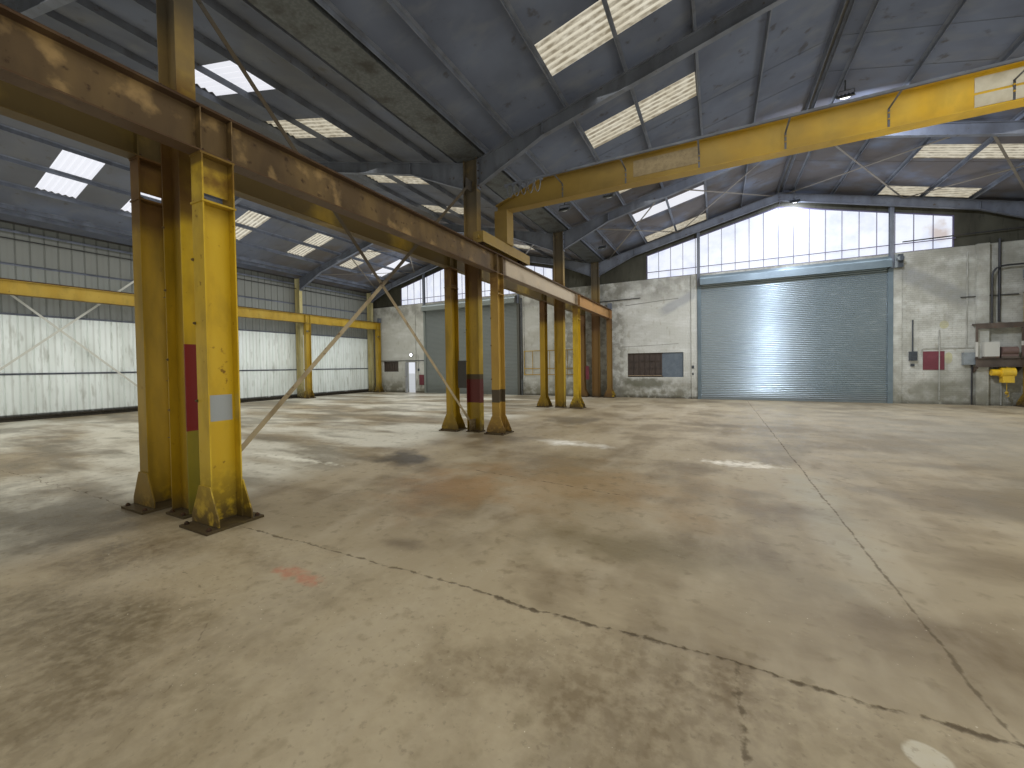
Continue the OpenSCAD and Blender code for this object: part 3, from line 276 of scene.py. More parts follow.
def finish(name, base, coats=(), rough=0.5, heights=(), **sockets):
    """Material name: base colour, coats of (mask maker, colour, strength, roughness), heights of
    (mask maker, depth in metres). sockets are settings of the Principled shader."""
    material = bpy.data.materials.new(name)
    material.use_nodes = True
    tree = material.node_tree
    tree.nodes.clear()
    colour = linear(base)
    roughness = rough
    for maker, coat, strength, coat_rough in coats:
        mask = maker(tree) if strength == 1.0 else times(tree, maker(tree), strength)
        colour = coat_over(tree, colour, (mask, coat))
        if coat_rough != rough or roughness is not rough:
            roughness = add(tree, "ShaderNodeMix", {0: mask, 2: roughness, 3: coat_rough}).outputs[0]
    links = {"Base Color": colour, "Roughness": roughness}
    for maker, depth in heights:
        bump = {"Height": maker(tree), "Distance": abs(depth), "Strength": 1.0}
        if "Normal" in links:
            bump["Normal"] = links["Normal"]
        links["Normal"] = add(tree, "ShaderNodeBump", bump, invert=depth < 0).outputs[0]
    links.update(sockets)
    shader = add(tree, "ShaderNodeBsdfPrincipled", links)
    add(tree, "ShaderNodeOutputMaterial", {"Surface": shader.outputs[0]})
    return material


def dress(material, *names):
    """Gives CAD pieces a material in place of the plain one that they came with."""
    for name in names:
        for slot in nodes[name].material_slots:
            slot.material = material
    print(material.name, "on", ", ".join(names))

# %% [markdown]
# ## Concrete floor
# Power-floated concrete is a warm grey. Decades of traffic leave it stained with oil, swept pale in
# lanes, and cut by joints between the pours. The joints are dark lines with crumbled edges, and old
# paint and grease make the patches a little glossy. One pale glossy streak is a painted reflection of
# the lit floodlight.

# %% Floor finish
JOINT = 0.03
near_joint = stroke((0.3, 0.02), (SPAN, 0.13), 0.035, 0.04, crumble=0.03)
floor_joints = [
    near_joint,
    stroke((6.46, 0.1), (6.46, WALL), JOINT, 0.02, crumble=0.02),
    stroke((1.98, 2.92), (4.3, 2.62), JOINT, 0.04, crumble=0.03),
    stroke((5.41, -PITCH), (5.44, 0.04), 0.05, 0.03, crumble=0.05),
    stroke((3.9, 0.04), (SPAN, 0.13), 0.055, 0.05, crumble=0.05),
    stroke((-SPAN, -0.45), (-0.5, -0.2), JOINT, 0.1, crumble=0.03),
    stroke((-6.6, -WALL), (-6.6, WALL), JOINT, 0.02, crumble=0.02),
    stroke((-SPAN, 2 * PITCH), (-0.5, 2 * PITCH), JOINT, 0.03, crumble=0.03),
]
CRACKS = (((1.54, -0.73), (2.19, -0.85), (2.64, -1.15), (2.86, -1.38), (3.3, -2.0)),
          ((-0.62, 0.91), (0.15, 1.15), (0.17, 2.76)))
floor_cracks = [
    stroke(a, b, 0.02, 0.03, crumble=0.03) for crack in CRACKS for a, b in zip(crack, crack[1:])]
concrete = finish(
    "power_floated_concrete", "#8b7f67",
    coats=[
        (clouds(2.6, 0.42, 0.58), "#9c9077", 0.75, 0.5),
        (clouds(1.1, 0.46, 0.6, shift=7.3, detail=5), "#6e614b", 0.75, 0.42),
        (clouds(0.8, 0.52, 0.66, shift=31.0, detail=5, stretch=(2.0, 1.0, 1)), "#645640", 0.6, 0.42),
        (clouds(0.5, 0.48, 0.62, shift=3.1, detail=5, stretch=(1.0, 2.5, 1)), "#a69c86", 0.45, 0.6),
        (both(band(0, -SPAN, -0.8, 1.0), clouds(1.6, 0.42, 0.56, shift=12.0, stretch=(2.5, 1, 1), detail=5)),
         "#c9c6b6", 0.9, 0.5),
        (both(band(0, -SPAN, -0.8, 1.0), clouds(0.9, 0.5, 0.62, shift=15.0, stretch=(2.5, 1, 1), detail=5)),
         "#6a6352", 0.7, 0.45),
        (spot((-1.4, -0.6, FLOOR), (2.6, 1.1, 1.5), soft=0.8, ragged=0.9), "#4f4636", 0.8, 0.35),
        (spot((1.6, -1.4, FLOOR), (1.6, 0.5, 1.0), soft=0.8, ragged=0.9), "#5b503a", 0.7, 0.4),
        (spot((3.6, 2.8, FLOOR), (2.6, 1.5, 1.5), soft=0.9, ragged=0.9), "#8c7450", 0.6, 0.42),
        (spot((2.1, 2.2, FLOOR), (1.0, 1.2, 1.0), soft=0.9, ragged=0.9), "#8d6c48", 0.45, 0.45),
        (spot((2.5, -1.8, FLOOR), (1.8, 0.9, 1.0), soft=0.9, ragged=0.9), "#6b5f48", 0.7, 0.42),
        # Painted reflection: a pale glossy streak where the lit floodlight mirrors in the floor
        (spot((6.4, 3.0, FLOOR), (0.35, 2.2, 1.0), soft=0.9, ragged=0.9), "#9d9783", 0.6, 0.25),
        (spot((4.6, 1.2, FLOOR), (1.3, 0.6, 1.0), soft=0.9, ragged=1.0), "#62583f", 0.65, 0.35),
        (spot((2.8, 0.42, FLOOR), (0.3, 0.15, 0.3), soft=0.9), "#564a3a", 0.6, 0.4),
        (spot((0.3, 3.1, FLOOR), (0.75, 0.6, 0.5), ragged=0.9), "#3b352b", 0.85, 0.35),
        (spot((7.9, 3.9, FLOOR), (1.2, 0.5, 0.8), soft=0.9, ragged=1.0), "#6c6253", 0.5, 0.45),
        (spot((10.5, 10.0, FLOOR), (5.5, 8.5, 5.0), soft=0.9), "#6e6b61", 0.75, 0.45),
        (spot((2.4, -0.36, FLOOR), (0.3, 0.1, 0.2), ragged=0.9), "#a8694f", 0.6, 0.5),
        (spot((-1.6, 2.25, FLOOR), (1.3, 0.12, 0.3), ragged=0.9), "#d8d6c6", 0.8, 0.6),
        (spot((2.6, 5.5, FLOOR), (0.95, 0.3, 0.3), ragged=1.0, soft=0.9), "#dcdacf", 0.9, 0.7),
        (spot((5.65, 4.95, FLOOR), (0.6, 0.25, 0.3), ragged=1.0, soft=0.9), "#dedacd", 0.8, 0.7),
        (spot((1.0, 5.6, FLOOR), (1.1, 0.5, 0.4), ragged=1.0, soft=0.9), "#4b4235", 0.6, 0.5),
        (spot((1.6, 9.0, FLOOR), (0.9, 0.9, 0.4), ragged=0.8, soft=0.5), "#5d564a", 0.7, 0.4),
        (spot((6.1, -0.19, FLOOR), (0.085, 0.085, 0.085), soft=0.15, ragged=0.15), "#b3ae9d", 0.85, 0.5),
        (both(band(1, -WALL, 0.0, 0.05), band(0, 0.3, SPAN, 0.3), clouds(0.06, 0.4, 0.66)),
         "#a89d83", 0.4, 0.6),
        (clouds(0.12, 0.58, 0.7), "#63573f", 0.4, 0.5),
        (both(band(1, -WALL, 0.0, 0.05), clouds(0.035, 0.6, 0.68, shift=21.0)), "#5b5140", 0.3, 0.6),
        (both(clouds(0.02, 0.7, 0.74, detail=2, shift=2.0), clouds(0.5, 0.5, 0.6, shift=5.0)),
         "#d5cfbd", 0.7, 0.7),
    ] + [(mask, "#4d4231", 0.7, 0.8) for mask in floor_joints] + [
        (mask, "#5a4f3c", 0.45, 0.7) for mask in floor_cracks],
    rough=0.46,
    heights=[(clouds(0.06, 0.3, 0.7), 0.0012), (near_joint, -0.005)],
)
dress(concrete, "floor_slab")

# %% [markdown]
# ## Painted brickwork
# The gable walls are bricks under many coats of white masonry paint. The courses show faintly through
# the paint, damp and moss rise from the floor, soot hangs under the glazing, and grey strips were
# painted out at the doorways.

# %% Masonry finish
COURSE = 0.075
BRICK = 0.225


def courses(tree):
    """Height of painted bricks, the joints a little sunk, seen square on."""
    flat = add(tree, "ShaderNodeCombineXYZ", {0: coordinate(tree, 0), 1: coordinate(tree, 2)})
    bricks = add(tree, "ShaderNodeTexBrick", {
        "Vector": flat.outputs[0], "Scale": 1.0, "Mortar Size": 0.006, "Mortar Smooth": 0.5,
        "Brick Width": BRICK, "Row Height": COURSE, "Color1": (1, 1, 1, 1), "Color2": (0.8, 0.8, 0.8, 1),
        "Mortar": (0, 0, 0, 1)})
    return bricks.outputs["Color"]


def joints_between(tree):
    """1 in the joints between the bricks."""
    return ramp(tree, courses(tree), 0.5, 0.1)


front = (0, 2)
masonry = finish(
    "painted_brickwork", "#b4b5ad",
    coats=[
        (clouds(1.3, 0.42, 0.65), "#a7a79e", 0.4, 0.7),
        (clouds(0.35, 0.5, 0.7, shift=5.0, stretch=(2.5, 1, 1)), "#cbcdc8", 0.6, 0.6),
        (clouds(0.16, 0.58, 0.7, detail=5, shift=9.0, stretch=(1, 1, 2)), "#88826d", 0.4, 0.8),
        (joints_between, "#8d8d83", 0.4, 0.8),
        (both(band(2, 0.0, FLOOR + 0.3, 0.8), clouds(0.35, 0.34, 0.58, detail=5)), "#5f5b45", 0.75, 0.8),
        (both(band(2, 0.0, FLOOR + 0.05, 0.12), clouds(0.2, 0.3, 0.45)), "#3f3a2e", 0.8, 0.8),
        (both(band(2, FLOOR + 5.0, 6.0, 0.6), clouds(0.5, 0.35, 0.6, shift=4.0)), "#67665d", 0.6, 0.8),
        (stroke((11.6, FLOOR + 4.75), (13.05, FLOOR + 3.8), 0.5, 0.05, front), "#7f8283", 0.85, 0.6),
        (stroke((3.2, FLOOR + 4.1), (4.25, FLOOR + 4.65), 0.36, 0.05, front), "#8d9091", 0.75, 0.6),
        (stroke((1.4, FLOOR + 4.45), (3.75, FLOOR + 4.6), 0.035, 0.01, front), "#6c6c66", 0.8, 0.6),
        (stroke((1.2, FLOOR + 2.45), (3.75, FLOOR + 2.52), 0.03, 0.01, front), "#74746b", 0.7, 0.6),
        (spot((12.6, WALL, FLOOR + 2.87), (0.13, 0.3, 0.15), soft=0.1, ragged=0.1), "#b5b184", 0.8, 0.6),
        (spot((12.72, WALL, FLOOR + 1.67), (0.11, 0.3, 0.22), soft=0.1, ragged=0.1), "#aaa77c", 0.8, 0.6),
        (spot((2.2, WALL, FLOOR + 0.72), (1.3, 0.4, 0.32), ragged=0.9), "#504f3a", 0.75, 0.8),
        (spot((12.7, WALL, FLOOR + 0.68), (1.0, 0.4, 0.33), ragged=0.9), "#585642", 0.65, 0.8),
        (both(band(0, -4.31, -4.14, 0.01), band(2, 0.0, FLOOR + 5.0, 0.02)), "#302b27", 0.9, 0.7),
        (both(band(0, 11.0, SPAN, 0.3), clouds(0.5, 0.3, 0.62, shift=17.0, detail=5)), "#7d7d71", 0.7, 0.7),
        (both(band(0, -2.2, 1.2, 0.3), clouds(0.3, 0.42, 0.55, shift=7.0, detail=5)), "#6e6c60", 0.6, 0.8),
    ],
    rough=0.65,
    heights=[(courses, 0.004), (clouds(0.02, 0.3, 0.7, detail=4), 0.0008)],
)
dress(masonry, "far_wall_main", "far_wall_corner", "far_wall_over_door", "front_wall")

# %% [markdown]
# ## Old yellow gloss
# The stanchions and runway beams were brushed with yellow gloss paint that has gone the colour of
# mustard. Rust shows brown where the paint has worn, oil and dust darken the feet, and the near faces of
# the flanges are a duller tan, partly rubbed paint and partly painted shade. Painted shade also darkens
# the left parts of the valley steel, the left bay's valley runway, the bottom flanges of the left bay's
# runways and a line under the right bay's runway beams.

# %% Steel paint finishes
def worn_paint(name, base, pale, rust, grime, wear=0.5, gloss=0.45, extra=()):
    """Brushed gloss on steel with faded patches, rust and grime towards the floor."""
    return finish(
        name, base,
        coats=[
            (clouds(0.5, 0.42, 0.62, stretch=(1, 1, 3), detail=5), pale, 0.7, gloss),
            (clouds(0.28, 0.5, 0.66, detail=5, shift=16.0, stretch=(1, 1, 2)), grime, 0.4, 0.6),
            (clouds(0.11, 0.7 - 0.16 * wear, 0.76 - 0.12 * wear, detail=5, shift=6.0), rust, 0.85, 0.8),
            (both(band(2, 0.0, FLOOR + 0.12, 0.55), clouds(0.11, 0.3, 0.52, detail=5, shift=6.0)),
             "#4b3b20", 0.85, 0.8),
        ] + list(extra) + [
            (band(2, 0.0, FLOOR + 0.035, 0.006), "#3a3328", 0.9, 0.85),
            (both(band(2, 0.0, FLOOR + 0.03, 0.2), clouds(0.11, 0.35, 0.5, detail=5, shift=6.0)),
             "#453a26", 0.75, 0.8),
        ],
        rough=gloss,
        heights=[(clouds(0.11, 0.3, 0.7, detail=5, shift=6.0), -0.0008)],
        **{"Coat Weight": 0.15, "Coat Roughness": 0.3},
    )


def patch(x0, x1, y0, y1, z0, z1):
    """A painted patch between three pairs of planes, heights above the floor."""
    edge = 0.004
    return both(band(0, x0, x1, edge), band(1, y0, y1, edge), band(2, FLOOR + z0, FLOOR + z1, edge))


# Spans along the building round the middle frame and the next one
NEAR = (-0.35, 0.35)
NEXT = (PITCH - 0.35, PITCH + 0.35)
heads = both(band(2, FLOOR + 3.55, 9.0, 0.5), clouds(0.35, 0.3, 0.55, detail=5, shift=2.0))
mustard = worn_paint(
    "mustard_gloss_on_steel", "#b29318", "#c0a530", "#5f4019", "#7b6518", wear=0.3,
    extra=[
        # Painted shade: the left crane columns and the valley posts are darker, away from the light
        (band(0, -0.9, 0.15, 0.02), "#8a6c0e", 0.75, 0.45),
        (both(band(0, -0.9, 0.35, 0.02), clouds(0.4, 0.45, 0.6, shift=3.0, stretch=(1, 1, 4))),
         "#63500d", 0.55, 0.5),
        # Near faces of the flanges at the middle frame: partly rubbed paint, partly painted shade
        (both(band(1, -0.4, -0.172, 0.008), band(0, -0.95, 0.95, 0.01)), "#7d6337", 0.85, 0.6),
        (both(band(0, 0.4, 0.9, 0.01), band(1, PITCH - 0.4, PITCH + 0.4, 0.01)), "#86683a", 0.7, 0.6),
        (heads, "#553718", 0.85, 0.75),
        (both(band(0, -0.95, 0.3, 0.05), band(2, FLOOR + 3.35, FLOOR + 4.6, 0.15)), "#4a3214", 0.75, 0.75),
        # Painted shadow under the runway beams on the right crane columns
        (both(band(0, 0.4, 0.95, 0.05), band(2, FLOOR + 3.72, FLOOR + 3.83, 0.03)), "#54401f", 0.75, 0.75),
        (both(band(0, -0.3, 0.3, 0.05), band(2, FLOOR + 4.9, 9.0, 0.3)), "#7b6a46", 0.8, 0.7),
        (both(band(2, FLOOR + 5.6, 9.0, 0.4), clouds(0.3, 0.2, 0.4)), "#3b3a36", 0.75, 0.75),
        (patch(0.16, 0.3, *NEAR, 0.0, 0.95), "#6c671f", 0.85, 0.5),
        (patch(0.16, 0.3, *NEAR, 0.95, 1.9), "#6b1a1c", 1.0, 0.45),
        (patch(0.62, 0.7, -0.14, 0.12, 1.08, 1.35), "#8c9294", 1.0, 0.5),
        (patch(-0.3, 0.3, *NEXT, 0.72, 1.3), "#4f1b17", 1.0, 0.5),
        (patch(-0.3, 0.3, *NEXT, 1.3, 1.42), "#2a251d", 0.9, 0.5),
        (patch(0.5, 0.83, *NEXT, 0.75, 1.05), "#33302c", 0.9, 0.5),
        (patch(-0.8, 0.8, GABLE_FRAME - 0.4, WALL, 0.0, 4.2), "#5c4226", 0.85, 0.7),
    ])
dress(mustard, "valley_posts", "valley_crane_columns")
cream = worn_paint("faded_yellow_gloss", "#a59a68", "#b9b48e", "#6f5a34", "#75704f", wear=0.25)
dress(cream, "wall_posts")
column_yellow = worn_paint(
    "bright_yellow_gloss", "#93771c", "#a18832", "#6d5022", "#6d5c1b", wear=0.15,
    # Painted shade: the left bay's valley runway is darker, its top darker still, and a dark line runs along
    # the bottom flanges of the left bay's runways
    extra=[(both(band(0, -2.0, 2.0, 0.1), clouds(0.9, 0.2, 0.5)), "#443821", 0.9, 0.65),
           (both(band(0, -2.0, 2.0, 0.1), band(2, FLOOR + 4.5, 6.0, 0.01)), "#2c251a", 0.85, 0.7),
           (both(band(2, FLOOR + 4.09, FLOOR + 4.115, 0.004), clouds(0.7, 0.3, 0.5)), "#4a3b1b", 0.8, 0.7)])
dress(column_yellow, "wall_crane_columns", "left_bay_runways")
beam_paint = worn_paint(
    "rusted_yellow_gloss", "#4a3b26", "#655231", "#33251a", "#392c1d", wear=0.6, gloss=0.55,
    extra=[
        (clouds(0.35, 0.56, 0.68, detail=5, shift=31.0), "#93794d", 0.6, 0.6),
        (both(band(0, 0.0, 2.0, 0.1), band(1, 6.6, 12.1, 0.1), clouds(0.8, 0.2, 0.5)), "#b3a58d", 0.7, 0.6),
        (both(band(0, 0.0, 2.0, 0.1), band(1, 12.3, WALL, 0.1), clouds(0.8, 0.2, 0.5)), "#a57a45", 0.7, 0.6),
        (band(2, FLOOR + 4.25, FLOOR + 4.3, 0.004), "#3b2a1c", 0.85, 0.7),
        (band(2, FLOOR + 3.8, FLOOR + 3.832, 0.004), "#43301f", 0.75, 0.7),
    ])
dress(beam_paint, "right_bay_runways")
crane_paint = worn_paint(
    "crane_yellow_gloss", "#cda51d", "#d4b23c", "#8a6a2c", "#a98c22", wear=0.05, gloss=0.35,
    extra=[(band(0, -1.0, 3.2, 5.0), "#54452c", 0.85, 0.5),
           (both(band(0, 2.0, 8.0, 3.0), clouds(0.8, 0.4, 0.6, stretch=(2, 1, 1))), "#8f7838", 0.6, 0.5)])
dress(crane_paint, "crane_girder", "crane_end_carriages", "guard_rail", "wall_hoist")
brace_paint = worn_paint(
    "rusty_tan_paint", "#84765a", "#9c8f72", "#4e3a28", "#54452f", wear=0.6,
    extra=[(both(band(0, -1.0, 1.0, 0.1), band(2, FLOOR + 3.2, 9.0, 0.3)), "#39322a", 0.85, 0.7),
           (band(2, FLOOR + 6.0, 9.0, 0.3), "#4a4a4a", 0.7, 0.7),
           (both(band(0, -SPAN - 1, -SPAN + 1, 0.1), band(2, 0.0, FLOOR + 6.0, 0.2)), "#b4b6ac", 0.85, 0.6)])
dress(brace_paint, "cross_bracing")
soot_paint = worn_paint("dusty_grey_paint", "#585d66", "#6c727c", "#4a3d2e", "#41403f", wear=0.3, gloss=0.65,
                        extra=[(band(2, 0.0, FLOOR + 0.3, 0.02), "#26231d", 0.85, 0.8)])
dress(soot_paint, "rafters", "purlins", "gable_posts", "runway_stops", "wall_rails", "crane_cable_track")
rack_paint = worn_paint(
    "rack_steel_paint", "#4a4038", "#5d5248", "#5e3a26", "#2f2a24", wear=0.5, gloss=0.55,
    extra=[(patch(13.3, 15.2, 17.0, 18.0, 1.7, 2.2), "#b6b6ad", 0.9, 0.5),
           (patch(13.85, 15.2, 17.0, 18.0, 1.7, 2.05), "#4e2a22", 0.85, 0.6)])
dress(rack_paint, "wall_rack")

# %% [markdown]
# ## Roof
# Corrugated fibre cement on the outside, lined inside with flat boards that have gone grey with soot.
# The rooflights are corrugated glass-fibre sheets: daylight passes through them, cream where the resin
# has aged, with streaks of painted shade along the flanks of the waves, and white where the sheet is new.

# %% Roof finishes
WAVE = 0.152
lining = finish(
    "sooted_lining_board", "#5c6474",
    coats=[
        (clouds(1.8, 0.4, 0.62), "#4a505e", 0.8, 0.85),
        (clouds(0.4, 0.5, 0.7, shift=4.0, stretch=(2, 1, 1)), "#6b6f74", 0.5, 0.85),
        (clouds(0.3, 0.62, 0.72, detail=5, shift=9.0), "#38342e", 0.6, 0.9),
        (both(band(0, -SPAN, -1.0, 2.0), clouds(3.0, 0.3, 0.6)), "#55534b", 0.6, 0.85),
        (both(band(1, 12.0, WALL, 3.0), clouds(1.2, 0.35, 0.55, shift=2.0)), "#4e453a", 0.7, 0.9),
    ],
    rough=0.85,
    heights=[(clouds(0.9, 0.2, 0.8, detail=2), 0.01)],
)
dress(lining, "roof_linings")
fibre_cement = finish(
    "weathered_fibre_cement", "#7c7a73",
    coats=[
        (clouds(2.0, 0.4, 0.62), "#696861", 0.8, 0.9),
        (clouds(0.2, 0.55, 0.7, detail=5, shift=3.0), "#8f8f86", 0.6, 0.9),
        (clouds(0.1, 0.62, 0.68, detail=5, shift=13.0), "#4f5340", 0.7, 0.95),
    ],
    rough=0.9,
    heights=[(clouds(0.03, 0.3, 0.7, detail=5), 0.001)],
)
dress(fibre_cement, "left_roof_sheets", "right_roof_sheets", "ridge_caps")


def wave_flank_shade(tree):
    """Painted shade that lies in streaks along every second flank of the waves."""
    turns = times(tree, coordinate(tree, 1), 2 * math.pi / WAVE)
    wave = add(tree, "ShaderNodeMath", {0: turns}, operation="SINE").outputs[0]
    streak = ramp(tree, wave, 0.2, 0.85)
    return times(tree, streak, clouds(0.06, 0.25, 0.6, detail=5, stretch=(2.5, 1, 2.5))(tree))


NEW_LIGHTS = ((-12.1, 2.49), (-12.1, 4.43), (-3.6, 2.49), (-12.1, 15.85), (3.7, 14.04))


def new_sheets(tree):
    """1 on the rooflights that were renewed."""
    out = None
    for x, y in NEW_LIGHTS:
        mask = both(band(0, x - 1.6, x + 1.6, 0.01), band(1, y - 0.6, y + 0.6, 0.01))(tree)
        if out is None:
            out = mask
        else:
            out = add(tree, "ShaderNodeMath", {0: out, 1: mask}, operation="MAXIMUM").outputs[0]
    return out


def daylight_sheet(name, colour_maker, glow):
    """Thin sheet that lets daylight through. glow is how bright the day behind it is."""
    material = bpy.data.materials.new(name)
    material.use_nodes = True
    tree = material.node_tree
    tree.nodes.clear()
    colour = colour_maker(tree)
    shader = add(tree, "ShaderNodeBsdfPrincipled", {
        "Base Color": linear("#6f7378"), "Roughness": 0.45, "IOR": 1.5, "Emission Color": colour,
        "Emission Strength": glow})
    add(tree, "ShaderNodeOutputMaterial", {"Surface": shader.outputs[0]})
    # The lamps light the room, so no render time goes into aiming rays at the sheets' own glow
    material.cycles.emission_sampling = "NONE"
    return material


# The rooflights' cream carries streaks of painted shade along the waves
rooflight = daylight_sheet("glass_fibre_rooflight", lambda t: coat_over(
    t, linear("#d3cab2"), (clouds(0.5, 0.4, 0.65)(t), "#e2dbc6"), (wave_flank_shade(t), "#7d6f55"),
    (new_sheets(t), "#f6f7ff")), 0.8)
dress(rooflight, "rooflights")
pane = daylight_sheet("obscured_wired_glass", lambda t: coat_over(
    t, linear("#eef2fc"), (clouds(0.5, 0.45, 0.7)(t), "#d9dff2"),
    (spot((12.45, WALL, FLOOR + 6.15), (0.36, 1.0, 0.45), ragged=0.9)(t), "#c3b4ae")), 0.9)
dress(pane, "gable_glass")

# %% [markdown]
# ## Sheet metal
# The side walls are coated profiled sheet, off-white with grey runs below each fixing. Painted shade
# darkens them behind the runway beams and from above the beams up to the eaves. The gable cladding,
# gutters and pipes are the same kind of sheet, dark with dust.

# %% Sheet finishes
SHEET_END = 17.872
RIBS = 107
RIB = 2 * SHEET_END / RIBS


def lap_lines(tree):
    """Thin dark lines of dust in the ribs of the wall sheets."""
    ribs = times(tree, coordinate(tree, 1), 1 / RIB)
    share = add(tree, "ShaderNodeMath", {0: ribs}, operation="FRACT").outputs[0]
    return times(tree, ramp(tree, share, 0.8, 0.9), clouds(0.6, 0.3, 0.55, stretch=(1, 1, 4))(tree))


wall_sheet = finish(
    "coated_wall_sheet", "#d2d9d4",
    coats=[
        (clouds(0.5, 0.42, 0.65, stretch=(1, 1, 4)), "#c0c7c0", 0.7, 0.5),
        (lap_lines, "#8d8f84", 0.35, 0.6),
        # Painted shade: the sheets above the runway beams are darker
        (band(2, FLOOR + 4.75, 8.0, 0.15), "#575a54", 0.8, 0.6),
        (clouds(0.12, 0.55, 0.7, detail=5, shift=5.0, stretch=(1, 1, 6)), "#86877a", 0.5, 0.6),
        (both(band(2, FLOOR, FLOOR + 0.2, 0.04), clouds(0.4, 0.2, 0.4)), "#24211b", 0.9, 0.8),
        # Painted shade: a dark band behind the runway beam
        (band(2, FLOOR + 3.62, FLOOR + 4.3, 0.03), "#4e4f49", 0.8, 0.6),
        # Painted shade, darker still towards the eaves
        (band(2, FLOOR + 5.3, 7.2, 0.6), "#6f7069", 0.7, 0.7),
        (band(2, FLOOR + 6.25, 7.2, 0.05), "#45463f", 0.8, 0.7),
    ],
    rough=0.45,
    heights=[(clouds(0.4, 0.2, 0.8, detail=2, stretch=(1, 1, 2)), 0.004)],
)
dress(wall_sheet, "wall_sheets")
cladding = finish(
    "dark_coated_sheet", "#35342a",
    coats=[(clouds(0.6, 0.4, 0.65, stretch=(1, 1, 3)), "#4a4a3e", 0.7, 0.6),
           (clouds(0.1, 0.55, 0.7, detail=5, shift=5.0, stretch=(1, 1, 5)), "#23221b", 0.6, 0.7)],
    rough=0.55,
)
dress(cladding, "gable_cladding")
zinc = finish(
    "dull_galvanised_sheet", "#5f6364",
    coats=[(clouds(0.05, 0.45, 0.6, detail=2), "#707476", 0.6, 0.45),
           (clouds(0.4, 0.5, 0.7, shift=6.0), "#45413a", 0.7, 0.7)],
    rough=0.5, **{"Metallic": 0.6},
)
dress(zinc, "valley_gutter", "eaves_gutters", "downpipes", "floodlights")
box_paint = finish(
    "grey_box_enamel", "#7d8486",
    coats=[(clouds(0.2, 0.45, 0.65), "#6a7072", 0.6, 0.4),
           (clouds(0.05, 0.6, 0.7, shift=3.0), "#4b4640", 0.6, 0.6),
           (band(0, -1.0, 3.0, 0.1), "#2b2723", 0.95, 0.5),
           (band(0, 11.3, 12.0, 0.05), "#30363d", 0.9, 0.4)],
    rough=0.35,
)
dress(box_paint, "switch_boxes")

# %% [markdown]
# ## Roller shutters
# Each curtain is made of curved galvanised slats, coated blue-grey. The curves catch every lamp as a
# bright line, so the shutter shows an upright streak below each lamp. Painted shade darkens the right
# parts of the curtains in the right bay.

# %% Shutter finishes
SLAT = 0.0763


def grooves(tree):
    """1 in the narrow groove between each slat and the next."""
    rows = add(tree, "ShaderNodeMath", {0: coordinate(tree, 2), 1: 1 / SLAT, 2: -FLOOR / SLAT + 0.1},
               operation="MULTIPLY_ADD")
    share = add(tree, "ShaderNodeMath", {0: rows.outputs[0]}, operation="FRACT").outputs[0]
    return ramp(tree, share, 0.22, 0.1)


shutter_coat = finish(
    "blue_grey_shutter_coat", "#9daaae",
    coats=[(clouds(1.5, 0.4, 0.65), "#87959a", 0.6, 0.28),
           # Painted shade: the right parts of the right bay's curtains are darker
           (both(band(0, 8.9, 12.0, 1.0), clouds(3.0, 0.2, 0.5)), "#76858b", 0.7, 0.28),
           (clouds(0.08, 0.55, 0.75, detail=5, shift=4.0, stretch=(5, 1, 1)), "#bac5c8", 0.4, 0.25),
           (band(0, -12.0, -3.0, 0.1), "#8b908d", 0.8, 0.4),
           (band(2, 0.0, FLOOR + 0.15, 0.3), "#7b807e", 0.6, 0.5),
           (grooves, "#4c565b", 0.7, 0.5)],
    rough=0.23, **{"Metallic": 0.6},
)
dress(shutter_coat, "shutter_curtains")
hood_coat = finish(
    "galvanised_hood", "#66747b",
    coats=[(clouds(0.8, 0.4, 0.65), "#77868c", 0.7, 0.35),
           (band(0, -12.0, -3.0, 0.1), "#848a84", 0.85, 0.5),
           (band(0, -4.45, -4.1, 0.01), "#55524a", 0.8, 0.5)],
    rough=0.4, **{"Metallic": 0.4},
)
dress(hood_coat, "shutter_hoods", "shutter_guides")

# %% [markdown]
# ## Crane rails, wheels and joinery
# Rails and wheels are bare steel that has gone brown and keeps a dull sheen. Glazing bars and window
# frames are painted steel, and the door is painted timber with an upright grain.

# %% Remaining finishes
rail = finish(
    "worn_rail_steel", "#5a4738",
    coats=[(clouds(0.3, 0.4, 0.6), "#46342a", 0.7, 0.7)],
    rough=0.5, **{"Metallic": 0.5},
)
dress(rail, "crane_rails", "crane_wheels")
bar_paint = finish(
    "glazing_bar_paint", "#5b5673",
    coats=[(clouds(0.2, 0.45, 0.65), "#484560", 0.6, 0.5)],
    rough=0.5,
)
dress(bar_paint, "gable_glazing_bars")
window_paint = finish(
    "window_steel_paint", "#453c36",
    coats=[(clouds(0.2, 0.45, 0.65), "#332d29", 0.6, 0.6),
           (band(0, 3.09, 4.2, 0.01), "#566069", 1.0, 0.5)],
    rough=0.5,
)
dress(window_paint, "far_windows")
door_wood = finish(
    "painted_timber_door", "#8d8f8c",
    coats=[(clouds(0.3, 0.45, 0.65, stretch=(1, 1, 6)), "#77756e", 0.6, 0.5)],
    rough=0.5,
)
dress(door_wood, "door_leaf", "door_frame")

# %% [markdown]
# ## Small parts in mesh code
# A steel building is held together by hundreds of bolts, clips and pipes. Each kind is one joined mesh:
# a few makers give closed shapes as points and faces, loops place them, and one call turns the list into
# an object. A straight piece is an outline carried along a line, with its long edges taken off so that
# they catch the light. A bolt is a profile turned round an axis, and a pipe is a circle carried along a
# path with round bends.

# %% Shape makers
def square_to(axis, up=(0, 0, 1)):
    """An axis with two directions square to it: sideways and up."""
    axis = Vector(axis).normalized()
    if abs(axis.dot(Vector(up))) > 0.99:
        up = (0, 1, 0)
    side = axis.cross(Vector(up)).normalized()
    return axis, side, side.cross(axis)


